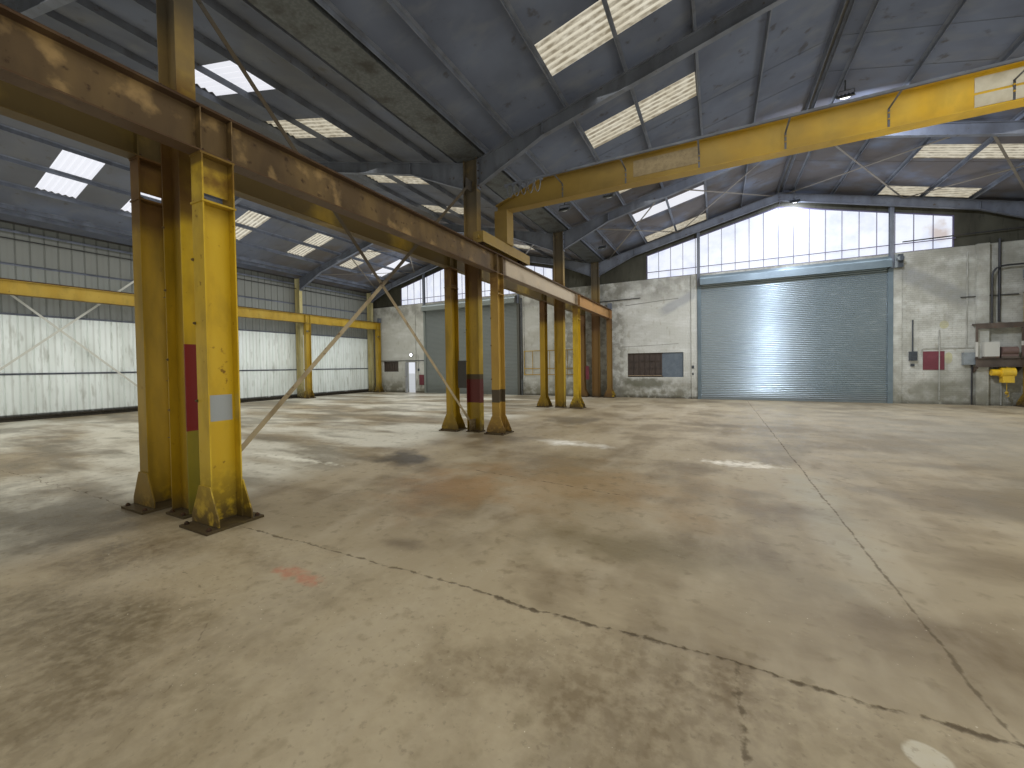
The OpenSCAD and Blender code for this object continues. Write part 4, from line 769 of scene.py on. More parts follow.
def sweep(outline, start, end, up=(0, 0, 1)):
    """A closed outline of (sideways, up) points carried straight from start to end."""
    start, end = Vector(start), Vector(end)
    axis, side, rise = square_to(end - start, up)
    count = len(outline)
    points = [base + side * u + rise * v for base in (start, end) for u, v in outline]
    faces = [tuple(range(count)), tuple(range(count, 2 * count))]
    faces += [(i, (i + 1) % count, (i + 1) % count + count, i + count) for i in range(count)]
    return points, faces


def bar(start, end, width, depth, up=(0, 0, 1), edge=0.002):
    """A flat or square bar with its long edges taken off."""
    w, d = width / 2, depth / 2
    outline = [(w - edge, -d), (w, edge - d), (w, d - edge), (w - edge, d),
               (edge - w, d), (-w, d - edge), (-w, edge - d), (edge - w, -d)]
    return sweep(outline, start, end, up)


def skin(points, sides):
    """Faces over rings of points that follow each other, with a cap at either end."""
    faces = [tuple(range(sides)), tuple(range(len(points) - sides, len(points)))]
    for ring in range(0, len(points) - sides, sides):
        faces += [(ring + i, ring + (i + 1) % sides, ring + sides + (i + 1) % sides, ring + sides + i)
                  for i in range(sides)]
    return faces


def lathe(profile, centre, axis, sides):
    """A profile of (radius, height) points turned round an axis, closed at both ends."""
    axis, side, rise = square_to(axis)
    centre = Vector(centre)
    points = []
    for radius, height in profile:
        for i in range(sides):
            turn = 2 * math.pi * i / sides
            points.append(centre + axis * height + side * radius * math.cos(turn)
                          + rise * radius * math.sin(turn))
    return points, skin(points, sides)


def bolt(centre, axis, size=0.02):
    """Washer, nut and thread end of a bolt, size is its diameter."""
    washer = [(size * 1.1, 0.0), (size * 1.1, size * 0.15)]
    nut = [(size * 0.78, size * 0.15), (size * 0.87, size * 0.25), (size * 0.87, size * 0.85),
           (size * 0.7, size)]
    thread = [(size * 0.5, size * 0.9), (size * 0.5, size * 1.2), (size * 0.4, size * 1.3)]
    return [lathe(washer, centre, axis, 10), lathe(nut, centre, axis, 6), lathe(thread, centre, axis, 6)]


def tube(path, radius, bend=0.1, sides=8):
    """A round pipe through the points of a path, its corners rounded."""
    points = [Vector(p) for p in path]
    route = [points[0]]
    for before, corner, after in zip(points, points[1:], points[2:]):
        start = corner + (before - corner).normalized() * bend
        end = corner + (after - corner).normalized() * bend
        for t in (0.0, 0.25, 0.5, 0.75, 1.0):
            route.append(start.lerp(corner, t).lerp(corner.lerp(end, t), t))
    route.append(points[-1])
    _, side, _ = square_to(route[1] - route[0])
    out = []
    for i, middle in enumerate(route):
        ahead = (route[min(i + 1, len(route) - 1)] - route[max(i - 1, 0)]).normalized()
        side = (side - ahead * side.dot(ahead)).normalized()
        rise = ahead.cross(side)
        for step in range(sides):
            turn = 2 * math.pi * step / sides
            out.append(middle + side * radius * math.cos(turn) + rise * radius * math.sin(turn))
    return out, skin(out, sides)


def box(low, high, edge=0.004):
    """A box between two corners, its upright edges taken off."""
    (x0, y0, z0), (x1, y1, z1) = low, high
    middle = ((x0 + x1) / 2, (y0 + y1) / 2)
    return bar((*middle, z0), (*middle, z1), y1 - y0, x1 - x0, up=(1, 0, 0), edge=edge)


piece_sizes = {}


def piece(name, shapes, material, body="building"):
    """One object from many closed shapes, riding on a body."""
    points = []
    faces = []
    for more_points, more_faces in shapes:
        start = len(points)
        points += [tuple(p) for p in more_points]
        faces += [tuple(i + start for i in face) for face in more_faces]
    mesh = bpy.data.meshes.new(name)
    mesh.from_pydata(points, [], faces)
    shape = bmesh.new()
    shape.from_mesh(mesh)
    bmesh.ops.recalc_face_normals(shape, faces=shape.faces)
    shape.to_mesh(mesh)
    shape.free()
    mesh.shade_smooth()
    mesh.set_sharp_from_angle(angle=math.radians(35))
    mesh.materials.append(material)
    made = bpy.data.objects.new(name, mesh)
    bpy.context.scene.collection.objects.link(made)
    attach(made, body)
    piece_sizes[name] = sum(len(face) - 2 for face in faces)
    print(name, len(shapes), "shapes", piece_sizes[name], "triangles")
    return made


def corners(dx, dy):
    """The four corners of a rectangle round the middle."""
    return [(-dx, -dy), (dx, -dy), (dx, dy), (-dx, dy)]


# %% [markdown]
# ## Bolts
# Base plates are held by four anchor bolts each. The columns' caps, the splice plates, the rafters' end
# plates and the ridge plates have their own. All are black steel that has gone brown.

# %% Make the bolts
PLATE = 0.025
FLANGE = 0.016
BEAM_DEPTH = 0.457
POST_FACE = 0.1905
ANCHOR_D = 0.024
BOLT_D = 0.02
POST_ANCHORS = (0.12, 0.118)
COLUMN_ANCHORS = (0.21, 0.235)
SEAT_BOLTS = (0.065, 0.115)
BRACKET_DEPTH = 0.48
bolt_steel = finish(
    "black_bolt_steel", "#4a4038",
    coats=[(clouds(0.02, 0.4, 0.6, detail=4), "#6b4a30", 0.8, 0.8),
           (clouds(0.3, 0.45, 0.6), "#38322c", 0.7, 0.7)],
    rough=0.6, **{"Metallic": 0.5},
)
UP = (0, 0, 1)
anchors = []
for y in FRAMES:
    for x in (-SPAN, 0.0, SPAN):
        for dx, dy in corners(*POST_ANCHORS):
            anchors += bolt((x + dx, y + dy, FLOOR + PLATE), UP, ANCHOR_D)
    for x, height in RUNWAYS:
        for dx, dy in corners(*COLUMN_ANCHORS):
            anchors += bolt((x + dx, y + dy, FLOOR + PLATE), UP, ANCHOR_D)
piece("anchor_bolts", anchors, bolt_steel)

joint_bolts = []
for y in FRAMES:
    for x, height in RUNWAYS:
        seat = FLOOR + height - BEAM_DEPTH
        for dx, dy in corners(*SEAT_BOLTS):
            joint_bolts += bolt((x + dx, y + dy, seat + FLANGE), UP, BOLT_D)
            joint_bolts += bolt((x + dx, y + dy, seat - BRACKET_DEPTH), UP, BOLT_D)
    for x, way in ((-SPAN, 1), (0.0, -1), (0.0, 1), (SPAN, -1)):
        for dz in (0.72, 0.54, 0.36, 0.18):
            for dy in (-0.052, 0.052):
                face = (x + way * (POST_FACE + 0.02), y + dy, EAVES - dz)
                joint_bolts += bolt(face, (way, 0, 0), BOLT_D)
    for ridge in (-HALF, HALF):
        for way in (-1, 1):
            for dz in (0.53, 0.42, 0.31):
                for dy in (-0.05, 0.05):
                    face = (ridge + way * 0.0165, y + dy, roof_height(ridge) - dz)
                    joint_bolts += bolt(face, (way, 0, 0), BOLT_D)
piece("joint_bolts", joint_bolts, bolt_steel)

# %% [markdown]
# ## Rail clips
# Crane rails are held to the runway beams by clips: a small plate on either side of the rail, each under
# one bolt, about every 600 mm.

# %% Make the rail clips
clips = []
CLIP_PITCH = 0.6
CLIP_T = 0.014
steps = int((WALL - 0.3) / CLIP_PITCH)
for x, height in RUNWAYS:
    top = FLOOR + height
    for i in range(-steps, steps + 1):
        y = i * CLIP_PITCH + 0.15
        for way in (-1, 1):
            z = top + CLIP_T / 2
            clips.append(bar((x + way * 0.03, y, z), (x + way * 0.085, y, z), 0.05, CLIP_T))
            clips += bolt((x + way * 0.062, y, top + CLIP_T), UP, 0.014)[1:]
piece("rail_clips", clips, bolt_steel)

# %% [markdown]
# ## Brackets and bolts on the stanchions
# Old fixings stay on the posts: cleats that once held pipes, and a bolt head now and then along the
# flanges. Each cleat is a short angle, made of two flat bars.

# %% Make the old fixings
fixings = []
for y in FRAMES[2:6]:
    for z in (1.05, 1.62, 2.4, 3.1):
        fixings += bolt((-POST_FACE, y - 0.06, FLOOR + z), (-1, 0, 0), 0.016)
        fixings += bolt((-POST_FACE + 0.02, y - 0.09, FLOOR + z + 0.12), (0, -1, 0), 0.014)
    for z in (0.85, 1.5, 2.45):
        fixings.append(bar((-POST_FACE, y - 0.05, FLOOR + z), (-POST_FACE - 0.07, y - 0.05, FLOOR + z),
                           0.06, 0.008))
        fixings.append(bar((-POST_FACE - 0.004, y - 0.05, FLOOR + z - 0.04),
                           (-POST_FACE - 0.004, y - 0.05, FLOOR + z + 0.04), 0.06, 0.008, up=(1, 0, 0)))
    for z in (1.3, 2.1, 2.75):
        fixings += bolt((COLUMN_OFF - 0.1, y - 0.1525 - 0.002, FLOOR + z), (0, -1, 0), 0.016)
piece("old_fixings", fixings, beam_paint)

# %% [markdown]
# ## Roof
# Flat battens cover the joints of the lining every 1.2 m. Outside, each sheet is held by hook bolts with
# domed washers on the crests, one on every third wave over each purlin. A ray from above finds the crest.

# %% Make the lining strips and the hook bolts
BATTEN_PITCH = 1.2
ROOFLIGHT_Y = (1.62, 2.49, 4.43, 4.75, 7.5, 7.88, 10.53, 11.0, 13.6, 14.05, 15.85, 17.1)
PURLIN_X = (0.5, 2.395, 3.67, 4.945, 6.22, 7.3, 7.95, 9.4, 10.67, 11.94, 13.21, 14.8)
light_spans = [(y - 0.6, y + 0.6) for y in ROOFLIGHT_Y]
light_spans += [(-high, -low) for low, high in light_spans]
battens = []
count = int(WALL / BATTEN_PITCH)
for i in range(-count, count + 1):
    y = i * BATTEN_PITCH + 0.3
    if abs(y) > WALL - 0.1 or any(low < y < high for low, high in light_spans):
        continue
    for side in (-1, 1):
        for x0, x1 in ((0.4, HALF - 0.1), (HALF + 0.1, SPAN - 0.4)):
            start = Vector((side * x0, y, roof_height(x0) - 0.003))
            end = Vector((side * x1, y, roof_height(x1) - 0.003))
            battens.append(bar(start, end, 0.045, 0.006))
piece("lining_battens", battens, lining)

caps = []
domed = [(0.022, 0.0), (0.02, 0.008), (0.01, 0.014), (0.008, 0.024)]
reach = int(WALL / (3 * WAVE))
for side, name in ((-1, "left_roof_sheets"), (1, "right_roof_sheets")):
    sheet = nodes[name]
    for x in PURLIN_X:
        for i in range(-reach, reach + 1):
            y = i * 3 * WAVE
            best = None
            for nudge in (-WAVE / 2, -WAVE / 4, 0.0, WAVE / 4, WAVE / 2):
                found, at, _, _ = sheet.ray_cast(Vector((side * x, y + nudge, 12.0)), Vector((0, 0, -1)))
                if found and (best is None or at.z > best.z):
                    best = at
            if best is not None and best.z > roof_height(x) + 0.03:
                tilt = SLOPE if x < HALF else -SLOPE
                caps.append(lathe(domed, best, (-side * tilt, 0, 1), 6))
piece("roof_hook_bolts", caps, zinc)

# %% [markdown]
# ## Wall sheets
# The side walls' sheets are screwed to the rails at each rib. From inside only the rails show, from
# outside the rows of screws do.

# %% Make the sheet screws
SCREW_Z = (0.115, 1.6, 3.6, 5.25, 6.35)
screws = []
screw = [(0.014, 0.0), (0.014, 0.003), (0.008, 0.004), (0.007, 0.01)]
for side in (-1, 1):
    for z in SCREW_Z:
        for i in range(-(RIBS // 2), RIBS // 2 + 1):
            start = Vector((side * (SPAN + 1.5), i * RIB, FLOOR + z))
            found, at, _, _ = nodes["wall_sheets"].ray_cast(start, Vector((-side, 0, 0)))
            if found:
                screws.append(lathe(screw, at, (side, 0, 0), 6))
piece("sheet_screws", screws, zinc)

# %% [markdown]
# ## Kerbs and eaves fillers
# Sheeted walls end a hand above the floor, on a low kerb of dark brick that keeps water out. At the top
# a strip of sooty foam fills the waves between wall sheet and roof, so that no daylight shows there.

# %% Make the kerbs and the fillers
kerb_brick = finish(
    "damp_kerb_brick", "#37332c",
    coats=[(clouds(0.3, 0.4, 0.6), "#28251f", 0.8, 0.8),
           (clouds(0.06, 0.5, 0.7, shift=2.0), "#4a463c", 0.5, 0.8)],
    rough=0.8, heights=[(clouds(0.03, 0.3, 0.7), 0.002)])
foam = finish(
    "sooted_filler_foam", "#2b2a27",
    coats=[(clouds(0.2, 0.4, 0.6), "#3a3833", 0.7, 0.9)], rough=0.9)
LENGTHS = 6
KERB_JOINT = 0.004
wall_low, wall_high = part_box("wall_sheets")
kerbs = []
fillers = []
for side in (-1, 1):
    near, far = sorted((side * (wall_high[0] - 0.06), side * (wall_high[0] - 0.01)))
    for i in range(LENGTHS):
        y0 = -WALL + i * 2 * WALL / LENGTHS
        y1 = y0 + 2 * WALL / LENGTHS
        kerbs.append(box((near, y0 + KERB_JOINT / 2, FLOOR), (far, y1 - KERB_JOINT / 2, wall_low[2] + 0.01)))
        fillers.append(box((near, y0, wall_high[2] - 0.03), (far, y1, wall_high[2] + 0.04)))
piece("sheet_foot_kerbs", kerbs, kerb_brick)
piece("eaves_fillers", fillers, foam)

# %% [markdown]
# ## Roller shutters
# The real slats are 76 mm high and curved. The CAD curtain has fewer and larger ones, so a finer curtain
# stands in for it here: the outline of one slat, repeated up the doorway, is carried across its width.
# Each slat bulges inwards and meets the next in a narrow groove, which shows as a dark line.

# %% Make the curtains
SHUTTER_H = 5.04
SHUTTER_W = 6.45
BULGE = 0.011
DOORWAY_SHIFT = 0.25
curtain_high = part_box("shutter_curtains")[1]
CURTAIN_Y = curtain_high[1] - 0.004
lap = curtain_high[0] - (HALF + DOORWAY_SHIFT + SHUTTER_W / 2)
slats = []
rows = int((SHUTTER_H + 0.1) / SLAT)
for middle, way in ((-HALF, 1), (HALF + DOORWAY_SHIFT, 1), (-HALF, -1), (HALF, -1)):
    face = []
    for row in range(rows):
        z = FLOOR + row * SLAT
        face += [(z + 0.004, 0.0), (z + 0.007, 0.0)]
        face += [(z + 0.007 + t * (SLAT - 0.01), 0.002 + BULGE * math.sin(math.pi * t)) for t in
                 (0.0, 0.12, 0.3, 0.5, 0.7, 0.88, 1.0)]
        face.append((z + SLAT, 0.0))
    x0 = middle - SHUTTER_W / 2 - lap
    x1 = middle + SHUTTER_W / 2 + lap
    points = [Vector((x, way * (CURTAIN_Y - out), z)) for x in (x0, x1) for z, out in face]
    n = len(face)
    points += [Vector((x, way * (CURTAIN_Y + 0.003), z)) for x in (x0, x1) for z in (face[0][0], face[-1][0])]
    quads = [(i, i + 1, i + 1 + n, i + n) for i in range(n - 1)]
    quads += [(2 * n, 2 * n + 1, 2 * n + 3, 2 * n + 2), (0, n, 2 * n + 2, 2 * n),
              (n - 1, 2 * n - 1, 2 * n + 3, 2 * n + 1)]
    quads += [tuple(range(n)) + (2 * n + 1, 2 * n), tuple(range(n, 2 * n)) + (2 * n + 3, 2 * n + 2)]
    slats.append((points, quads))
    foot = way * (CURTAIN_Y - 0.008)
    slats.append(bar((x0, foot, FLOOR + 0.035), (x1, foot, FLOOR + 0.035), 0.07, 0.012, up=(0, 1, 0)))
curtains = piece("shutter_slats", slats, shutter_coat)
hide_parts("shutter_curtains")

# %% [markdown]
# ## Windows and glazing
# The window beside the right doorway has small panes in its left part and a blue-grey panel in its
# right part, with a timber sill board below. A thin rail crosses the gable glazing a little over its
# sill, on the side of the room.

# %% Make the window bars and the glazing rail
WINDOW_X = (1.465, 3.965)
WINDOW_Z = (FLOOR + 0.985, FLOOR + 2.135)
SPLIT = WINDOW_X[0] + 0.62 * (WINDOW_X[1] - WINDOW_X[0])
CORNER_LIGHT_X = -14.42
CORNER_LIGHT_W = 1.29
WINDOW_BAR = (0.022, 0.03)
TRANSOM = (0.035, 0.03)
window_y = WALL + 0.075
left_part = (WINDOW_X[0] + 0.05, SPLIT - 0.02)


def upright(x, low, high):
    """An upright window bar between two heights."""
    return bar((x, window_y, low), (x, window_y, high), *WINDOW_BAR, up=(0, 1, 0))


bars = []
for i in range(1, 6):
    x = left_part[0] + (left_part[1] - left_part[0]) * i / 6
    bars.append(upright(x, WINDOW_Z[0] + 0.05, WINDOW_Z[1] - 0.05))
for share, section in ((0.36, WINDOW_BAR), (0.66, TRANSOM)):
    z = WINDOW_Z[0] + (WINDOW_Z[1] - WINDOW_Z[0]) * share
    bars.append(bar((left_part[0], window_y, z), (left_part[1], window_y, z), *section))
for share in (0.33, 0.66):
    bars.append(upright(CORNER_LIGHT_X + CORNER_LIGHT_W * share, FLOOR + 1.39, FLOOR + 1.96))
piece("window_bars", bars, window_paint)
panel_paint = finish(
    "blue_grey_panel_board", "#566069",
    coats=[(clouds(0.3, 0.42, 0.65), "#6a747b", 0.6, 0.5),
           (clouds(0.06, 0.55, 0.7, shift=3.0), "#3f464c", 0.5, 0.6)],
    rough=0.5,
)
panel_z = (WINDOW_Z[0] + WINDOW_Z[1]) / 2
panel_h = WINDOW_Z[1] - WINDOW_Z[0] - 0.1
piece("window_panel", [bar((SPLIT + 0.02, window_y, panel_z), (WINDOW_X[1] - 0.05, window_y, panel_z),
                           0.012, panel_h)], panel_paint)
sill_wood = finish(
    "bare_sill_board", "#8f7f69",
    coats=[(clouds(0.05, 0.45, 0.6, stretch=(12, 1, 1)), "#6e5f4c", 0.7, 0.7)], rough=0.7)
piece("window_sill", [bar((WINDOW_X[0] + 0.03, WALL + 0.04, WINDOW_Z[0] + 0.07),
                          (SPLIT, WALL + 0.04, WINDOW_Z[0] + 0.07), 0.12, 0.03)], sill_wood)

glass_low, glass_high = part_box("gable_glass")
GLAZING_SILL = glass_low[2]
GLAZING_W = 10.5
rails = []
for middle in (-HALF, HALF):
    for way in (-1, 1):
        y = way * (WALL - 0.02)
        z = GLAZING_SILL + 0.28
        rails.append(bar((middle - GLAZING_W / 2, y, z), (middle + GLAZING_W / 2, y, z), 0.03, 0.03))
piece("glazing_rails", rails, bar_paint)

# %% [markdown]
# The glazing bars show outside too, as a narrow cap over each joint between two panes.

# %% Make the outer caps
PANES = 20
CAP_W = 0.03
pane_face = glass_high[1]
bar_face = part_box("gable_glazing_bars")[1][1]
cap_y = (pane_face + bar_face) / 2
caps = []
for middle in (-HALF, HALF):
    for way in (-1, 1):
        for i in range(1, PANES):
            across = (i / PANES - 0.5) * (GLAZING_W - 0.04)
            head = glass_high[2] - abs(across) * SLOPE - 0.01
            foot = (middle + across, way * cap_y, GLAZING_SILL)
            caps.append(bar(foot, (middle + across, way * cap_y, head), CAP_W, bar_face - pane_face,
                            up=(0, 1, 0)))
piece("outer_glazing_caps", caps, bar_paint)

# %% [markdown]
# ## Personnel door
# A panelled timber door with a lever handle and a kick plate. The pieces ride on the door, so they are
# placed along the leaf as it stands open.

# %% Make the door's furniture
leaf_low, leaf_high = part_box("door_leaf")
print("door leaf from", [round(v, 3) for v in leaf_low], "to", [round(v, 3) for v in leaf_high])

DOOR_HINGE = Vector((-12.404, 17.628, 0.0))
DOOR_OPEN = math.radians(62)
DOOR_RUN = Vector((math.cos(DOOR_OPEN), -math.sin(DOOR_OPEN), 0.0))
DOOR_OUT = Vector((-DOOR_RUN.y, DOOR_RUN.x, 0.0))
LEAF_NEAR = 0.011
LEAF_FAR = 0.055
iron = finish(
    "black_painted_iron", "#26282b",
    coats=[(clouds(0.05, 0.45, 0.65), "#3a3a38", 0.7, 0.6), (clouds(0.3, 0.5, 0.7), "#4a3f33", 0.4, 0.8)],
    rough=0.5)
brass = finish(
    "dull_brass", "#8a7440",
    coats=[(clouds(0.02, 0.4, 0.6), "#5e4d2a", 0.6, 0.5)], rough=0.4, **{"Metallic": 1.0})


def on_leaf(reach, out, height):
    """A point on the open door: along the leaf from its hinge, out from the hinge's axis, and up."""
    return DOOR_HINGE + DOOR_RUN * reach + DOOR_OUT * out + Vector((0, 0, FLOOR + height))


MOULDING = (0.02, 0.012)
mouldings = []
for out in (LEAF_NEAR - 0.004, LEAF_FAR + 0.004):
    for low, high in ((0.32, 0.86), (1.05, 1.78)):
        for inner, outer in ((0.09, 0.32), (0.39, 0.6)):
            for z in (low, high):
                mouldings.append(bar(on_leaf(inner, out, z), on_leaf(outer, out, z), *MOULDING, up=DOOR_OUT))
            for x in (inner, outer):
                mouldings.append(bar(on_leaf(x, out, low), on_leaf(x, out, high), *MOULDING, up=DOOR_OUT))
piece("door_mouldings", mouldings, door_wood, "door")
HANDLE_X = 0.6
HANDLE_Z = 1.03
handles = []
for face, way in ((LEAF_NEAR, -1), (LEAF_FAR, 1)):
    plate = face + way * 0.002
    lever = face + way * 0.05
    handles.append(bar(on_leaf(HANDLE_X, plate, 0.93), on_leaf(HANDLE_X, plate, 1.1), 0.04, 0.006,
                       up=DOOR_OUT))
    handles.append(tube([on_leaf(HANDLE_X, face, HANDLE_Z), on_leaf(HANDLE_X, lever, HANDLE_Z),
                         on_leaf(0.48, lever, HANDLE_Z)], 0.009, 0.015))
piece("door_handles", handles, brass, "door")

# %% [markdown]
# ## Fittings on the gable walls
# Steel conduit runs along and down the painted brickwork beside the right doorway, between the switch
# boxes. Bends have a radius of about four diameters, and a saddle holds each pipe to the wall.

# %% Make the conduits and boards
conduit_steel = finish(
    "painted_conduit", "#9a9b93",
    coats=[(clouds(0.2, 0.42, 0.62, stretch=(1, 1, 3)), "#77776d", 0.7, 0.6),
           (clouds(0.05, 0.6, 0.7, shift=5.0), "#5b4c3a", 0.6, 0.8)], rough=0.5)
pipe_face = WALL - 0.03


def wall_pipe(points, radius=0.013, bend=0.08):
    """A pipe on the far wall through (x, height over the floor) points."""
    return tube([(x, pipe_face, FLOOR + z) for x, z in points], radius, bend)


conduits = [
    wall_pipe([(12.0, 1.75), (12.0, 2.02), (13.4, 2.02)]),
    wall_pipe([(12.47, 0.16), (12.47, 2.69)], 0.016),
    wall_pipe([(13.17, 2.02), (13.17, 5.35)], 0.016),
    wall_pipe([(14.02, 0.02), (14.02, 0.9)], 0.02),
    wall_pipe([(4.36, 1.05), (4.36, 3.9)], 0.01),
    wall_pipe([(-11.45, 0.9), (-11.45, 2.4), (-11.9, 2.4)], 0.012),
    wall_pipe([(-11.63, 1.3), (-11.63, 5.3)], 0.022),
]
SADDLES = ((12.4, 2.02), (13.0, 2.02), (12.47, 0.6), (12.47, 1.2), (12.47, 2.4), (13.17, 2.9), (13.17, 3.8),
           (13.17, 4.7), (14.02, 0.5), (4.36, 2.2), (4.36, 3.3))
saddles = []
for x, z in SADDLES:
    y = WALL - 0.003
    saddles.append(bar((x - 0.035, y, FLOOR + z), (x + 0.035, y, FLOOR + z), 0.02, 0.006))
piece("wall_conduits", conduits + saddles, conduit_steel)

flue_y = WALL - 0.18
dark_pipes = [
    tube([(13.72, flue_y, FLOOR + 2.85), (13.72, flue_y, FLOOR + 4.78), (15.0, flue_y, FLOOR + 4.78)],
         0.03, 0.35),
    tube([(13.95, WALL - 0.04, FLOOR + 2.9), (13.95, WALL - 0.04, FLOOR + 5.72)], 0.035, 0.1),
    tube([(13.3, WALL - 0.04, FLOOR + 0.02), (13.3, WALL - 0.04, FLOOR + 1.42)], 0.022, 0.1),
    tube([(-15.0, WALL - 0.1, FLOOR + 2.06), (-10.95, WALL - 0.1, FLOOR + 2.02)], 0.025, 0.1),
    tube([(11.45, WALL - 0.06, FLOOR + 5.98), (15.0, WALL - 0.06, FLOOR + 6.02)], 0.022, 0.1),
    tube([(-15.0, WALL - 0.06, FLOOR + 5.6), (-13.0, WALL - 0.06, FLOOR + 5.6)], 0.02, 0.1),
    tube([(-1.6, WALL - 0.06, FLOOR + 4.7), (2.1, WALL - 0.06, FLOOR + 4.75)], 0.02, 0.1),
]
dark_pipes.append(bar((13.0, WALL - 0.05, FLOOR + 3.8), (14.4, WALL - 0.05, FLOOR + 3.8), 0.03, 0.03))
for side in (-1, 1):
    dark_pipes.append(tube([(side * (SPAN + 0.15), -WALL + 0.2, FLOOR + 6.05),
                            (side * (SPAN + 0.15), WALL - 0.2, FLOOR + 6.05)], 0.02, 0.1))
piece("dark_pipes", dark_pipes, iron)

maroon = finish(
    "maroon_board_paint", "#5f2a33",
    coats=[(clouds(0.3, 0.45, 0.65), "#6f3640", 0.6, 0.5),
           (clouds(0.04, 0.6, 0.72, shift=3.0), "#43212a", 0.6, 0.6)],
    rough=0.5)
boards = [
    box((12.04, WALL - 0.025, FLOOR + 1.25), (12.61, WALL, FLOOR + 1.92)),
    box((-11.36, WALL - 0.09, FLOOR + 0.5), (-10.99, WALL, FLOOR + 1.14)),
    box((-0.5, WALL - 0.45, FLOOR + 0.88), (-0.33, WALL - 0.4, FLOOR + 1.55)),
]
piece("painted_boards", boards, maroon)
switch_paint = finish(
    "dark_switch_enamel", "#33383d",
    coats=[(clouds(0.08, 0.45, 0.65), "#454b50", 0.6, 0.4)], rough=0.4)
# Place along the wall, height, width, depth of each switch
SWITCHES = ((4.36, 1.44, 0.1, 0.14, 0.07), (4.36, 1.13, 0.08, 0.1, 0.06), (11.75, 1.43, 0.1, 0.1, 0.06),
            (13.52, 1.5, 0.14, 0.18, 0.08), (-11.45, 1.45, 0.1, 0.16, 0.07))
KNOB = [(0.018, 0.0), (0.018, 0.015), (0.012, 0.02)]
boxes = []
for x, z, wide, high, deep in SWITCHES:
    z += FLOOR
    boxes.append(box((x - wide / 2, WALL - deep, z - high / 2), (x + wide / 2, WALL, z + high / 2)))
    boxes.append(lathe(KNOB, (x, WALL - deep, z), (0, -1, 0), 10))
for x, z in ((11.755, 1.66), (11.755, 1.84)):
    boxes.append(box((x - 0.08, WALL - 0.135, FLOOR + z - 0.06), (x + 0.08, WALL - 0.12, FLOOR + z + 0.06)))
piece("small_switches", boxes, switch_paint)

# %% [markdown]
# A round bulkhead lamp over the personnel door is lit: an iron ring round a dome of white glass.

# %% Make the bulkhead lamp
lamp_glow = bpy.data.materials.new("lit_opal_glass")
lamp_glow.use_nodes = True
glow_tree = lamp_glow.node_tree
glow_tree.nodes.clear()
glow_colour = coat_over(glow_tree, linear("#f4f8ff"), (clouds(0.05, 0.3, 0.7)(glow_tree), "#ffffff"))
glow_shader = add(glow_tree, "ShaderNodeBsdfPrincipled", {
    "Base Color": glow_colour, "Roughness": 0.3, "Emission Color": glow_colour, "Emission Strength": 4.0})
add(glow_tree, "ShaderNodeOutputMaterial", {"Surface": glow_shader.outputs[0]})
lamp_glow.cycles.emission_sampling = "NONE"

BULKHEAD = (-12.02, WALL, FLOOR + 2.4)
ring = [(0.13, 0.0), (0.13, 0.04), (0.11, 0.055), (0.1, 0.055)]
dome = [(0.1, 0.03)]
for step in range(1, 6):
    turn = step * math.pi / 12
    dome.append((0.1 * math.cos(turn), 0.05 + 0.05 * math.sin(turn)))
piece("bulkhead_ring", [lathe(ring, BULKHEAD, (0, -1, 0), 24)], iron)
piece("bulkhead_glass", [lathe(dome, BULKHEAD, (0, -1, 0), 24)], lamp_glow)

# %% [markdown]
# ## Floodlight glasses
# Each floodlight looks down towards the far gable. Its glass is a shallow lit dome set in the housing's
# face; two of the lamps are lit, the others are off and only mirror the daylight.

# %% Make the floodlight glasses
LAMP_PLACES = ((1.12, 9.7), (2.395, 10.15), (1.12, 14.35), (8.105, 10.05), (8.105, 17.13))
LIT = ((8.105, 10.05), (8.105, 17.13))
LAMP_TILT = math.radians(35)
PURLIN_LOW = 0.131
HANGER = 0.25
HOUSING = 0.11
lamp_axis = Vector((0, math.sin(LAMP_TILT), -math.cos(LAMP_TILT)))


def lamp_face(x, y):
    """Middle of the face of the floodlight that hangs from the purlin at x."""
    purlin_side = 0.0045 if x < HALF else -0.0045
    hung = Vector((x + purlin_side, y, roof_height(x) - PURLIN_LOW - HANGER - HOUSING))
    return hung + lamp_axis * 0.03


lens_shape = [(0.115, -0.005), (0.11, 0.012), (0.085, 0.03), (0.045, 0.04), (0.01, 0.043)]
lit = []
unlit = []
for x, y in LAMP_PLACES:
    (lit if (x, y) in LIT else unlit).append(lathe(lens_shape, lamp_face(x, y), lamp_axis, 24))
piece("lit_glasses", lit, lamp_glow)
lamp_glass = finish(
    "floodlight_glass", "#b9c0c4", coats=[(clouds(0.1, 0.45, 0.65), "#8f979b", 0.6, 0.3)], rough=0.12)
piece("unlit_glasses", unlit, lamp_glass)

# %% [markdown]
# ## Crane
# The girder carries bare plates where its signs were, seams where its web plates meet, and bolts through
# each arm of the cable track. All of them ride on the crane.

# %% Make the crane's plates and bolts
CRANE_Y = 6.5
GIRDER_LOW = FLOOR + 5.4
plate_paint = finish(
    "bare_sign_plate", "#8f8060",
    coats=[(clouds(0.12, 0.42, 0.62), "#7a6c50", 0.7, 0.5),
           (clouds(0.03, 0.6, 0.7, shift=3.0), "#5d5140", 0.5, 0.7)],
    rough=0.5)
pale_plate = finish(
    "pale_sign_plate", "#c3bfae",
    coats=[(clouds(0.2, 0.42, 0.62), "#aba793", 0.6, 0.5)], rough=0.5)
WEB_FACE = CRANE_Y - 0.006
SIGN_T = 0.006


def sign(x0, x1, z, deep):
    """A thin plate on the girder's web: its two ends, the height of its middle and its depth."""
    y = WEB_FACE - SIGN_T / 2
    return bar((x0, y, GIRDER_LOW + z), (x1, y, GIRDER_LOW + z), SIGN_T, deep)


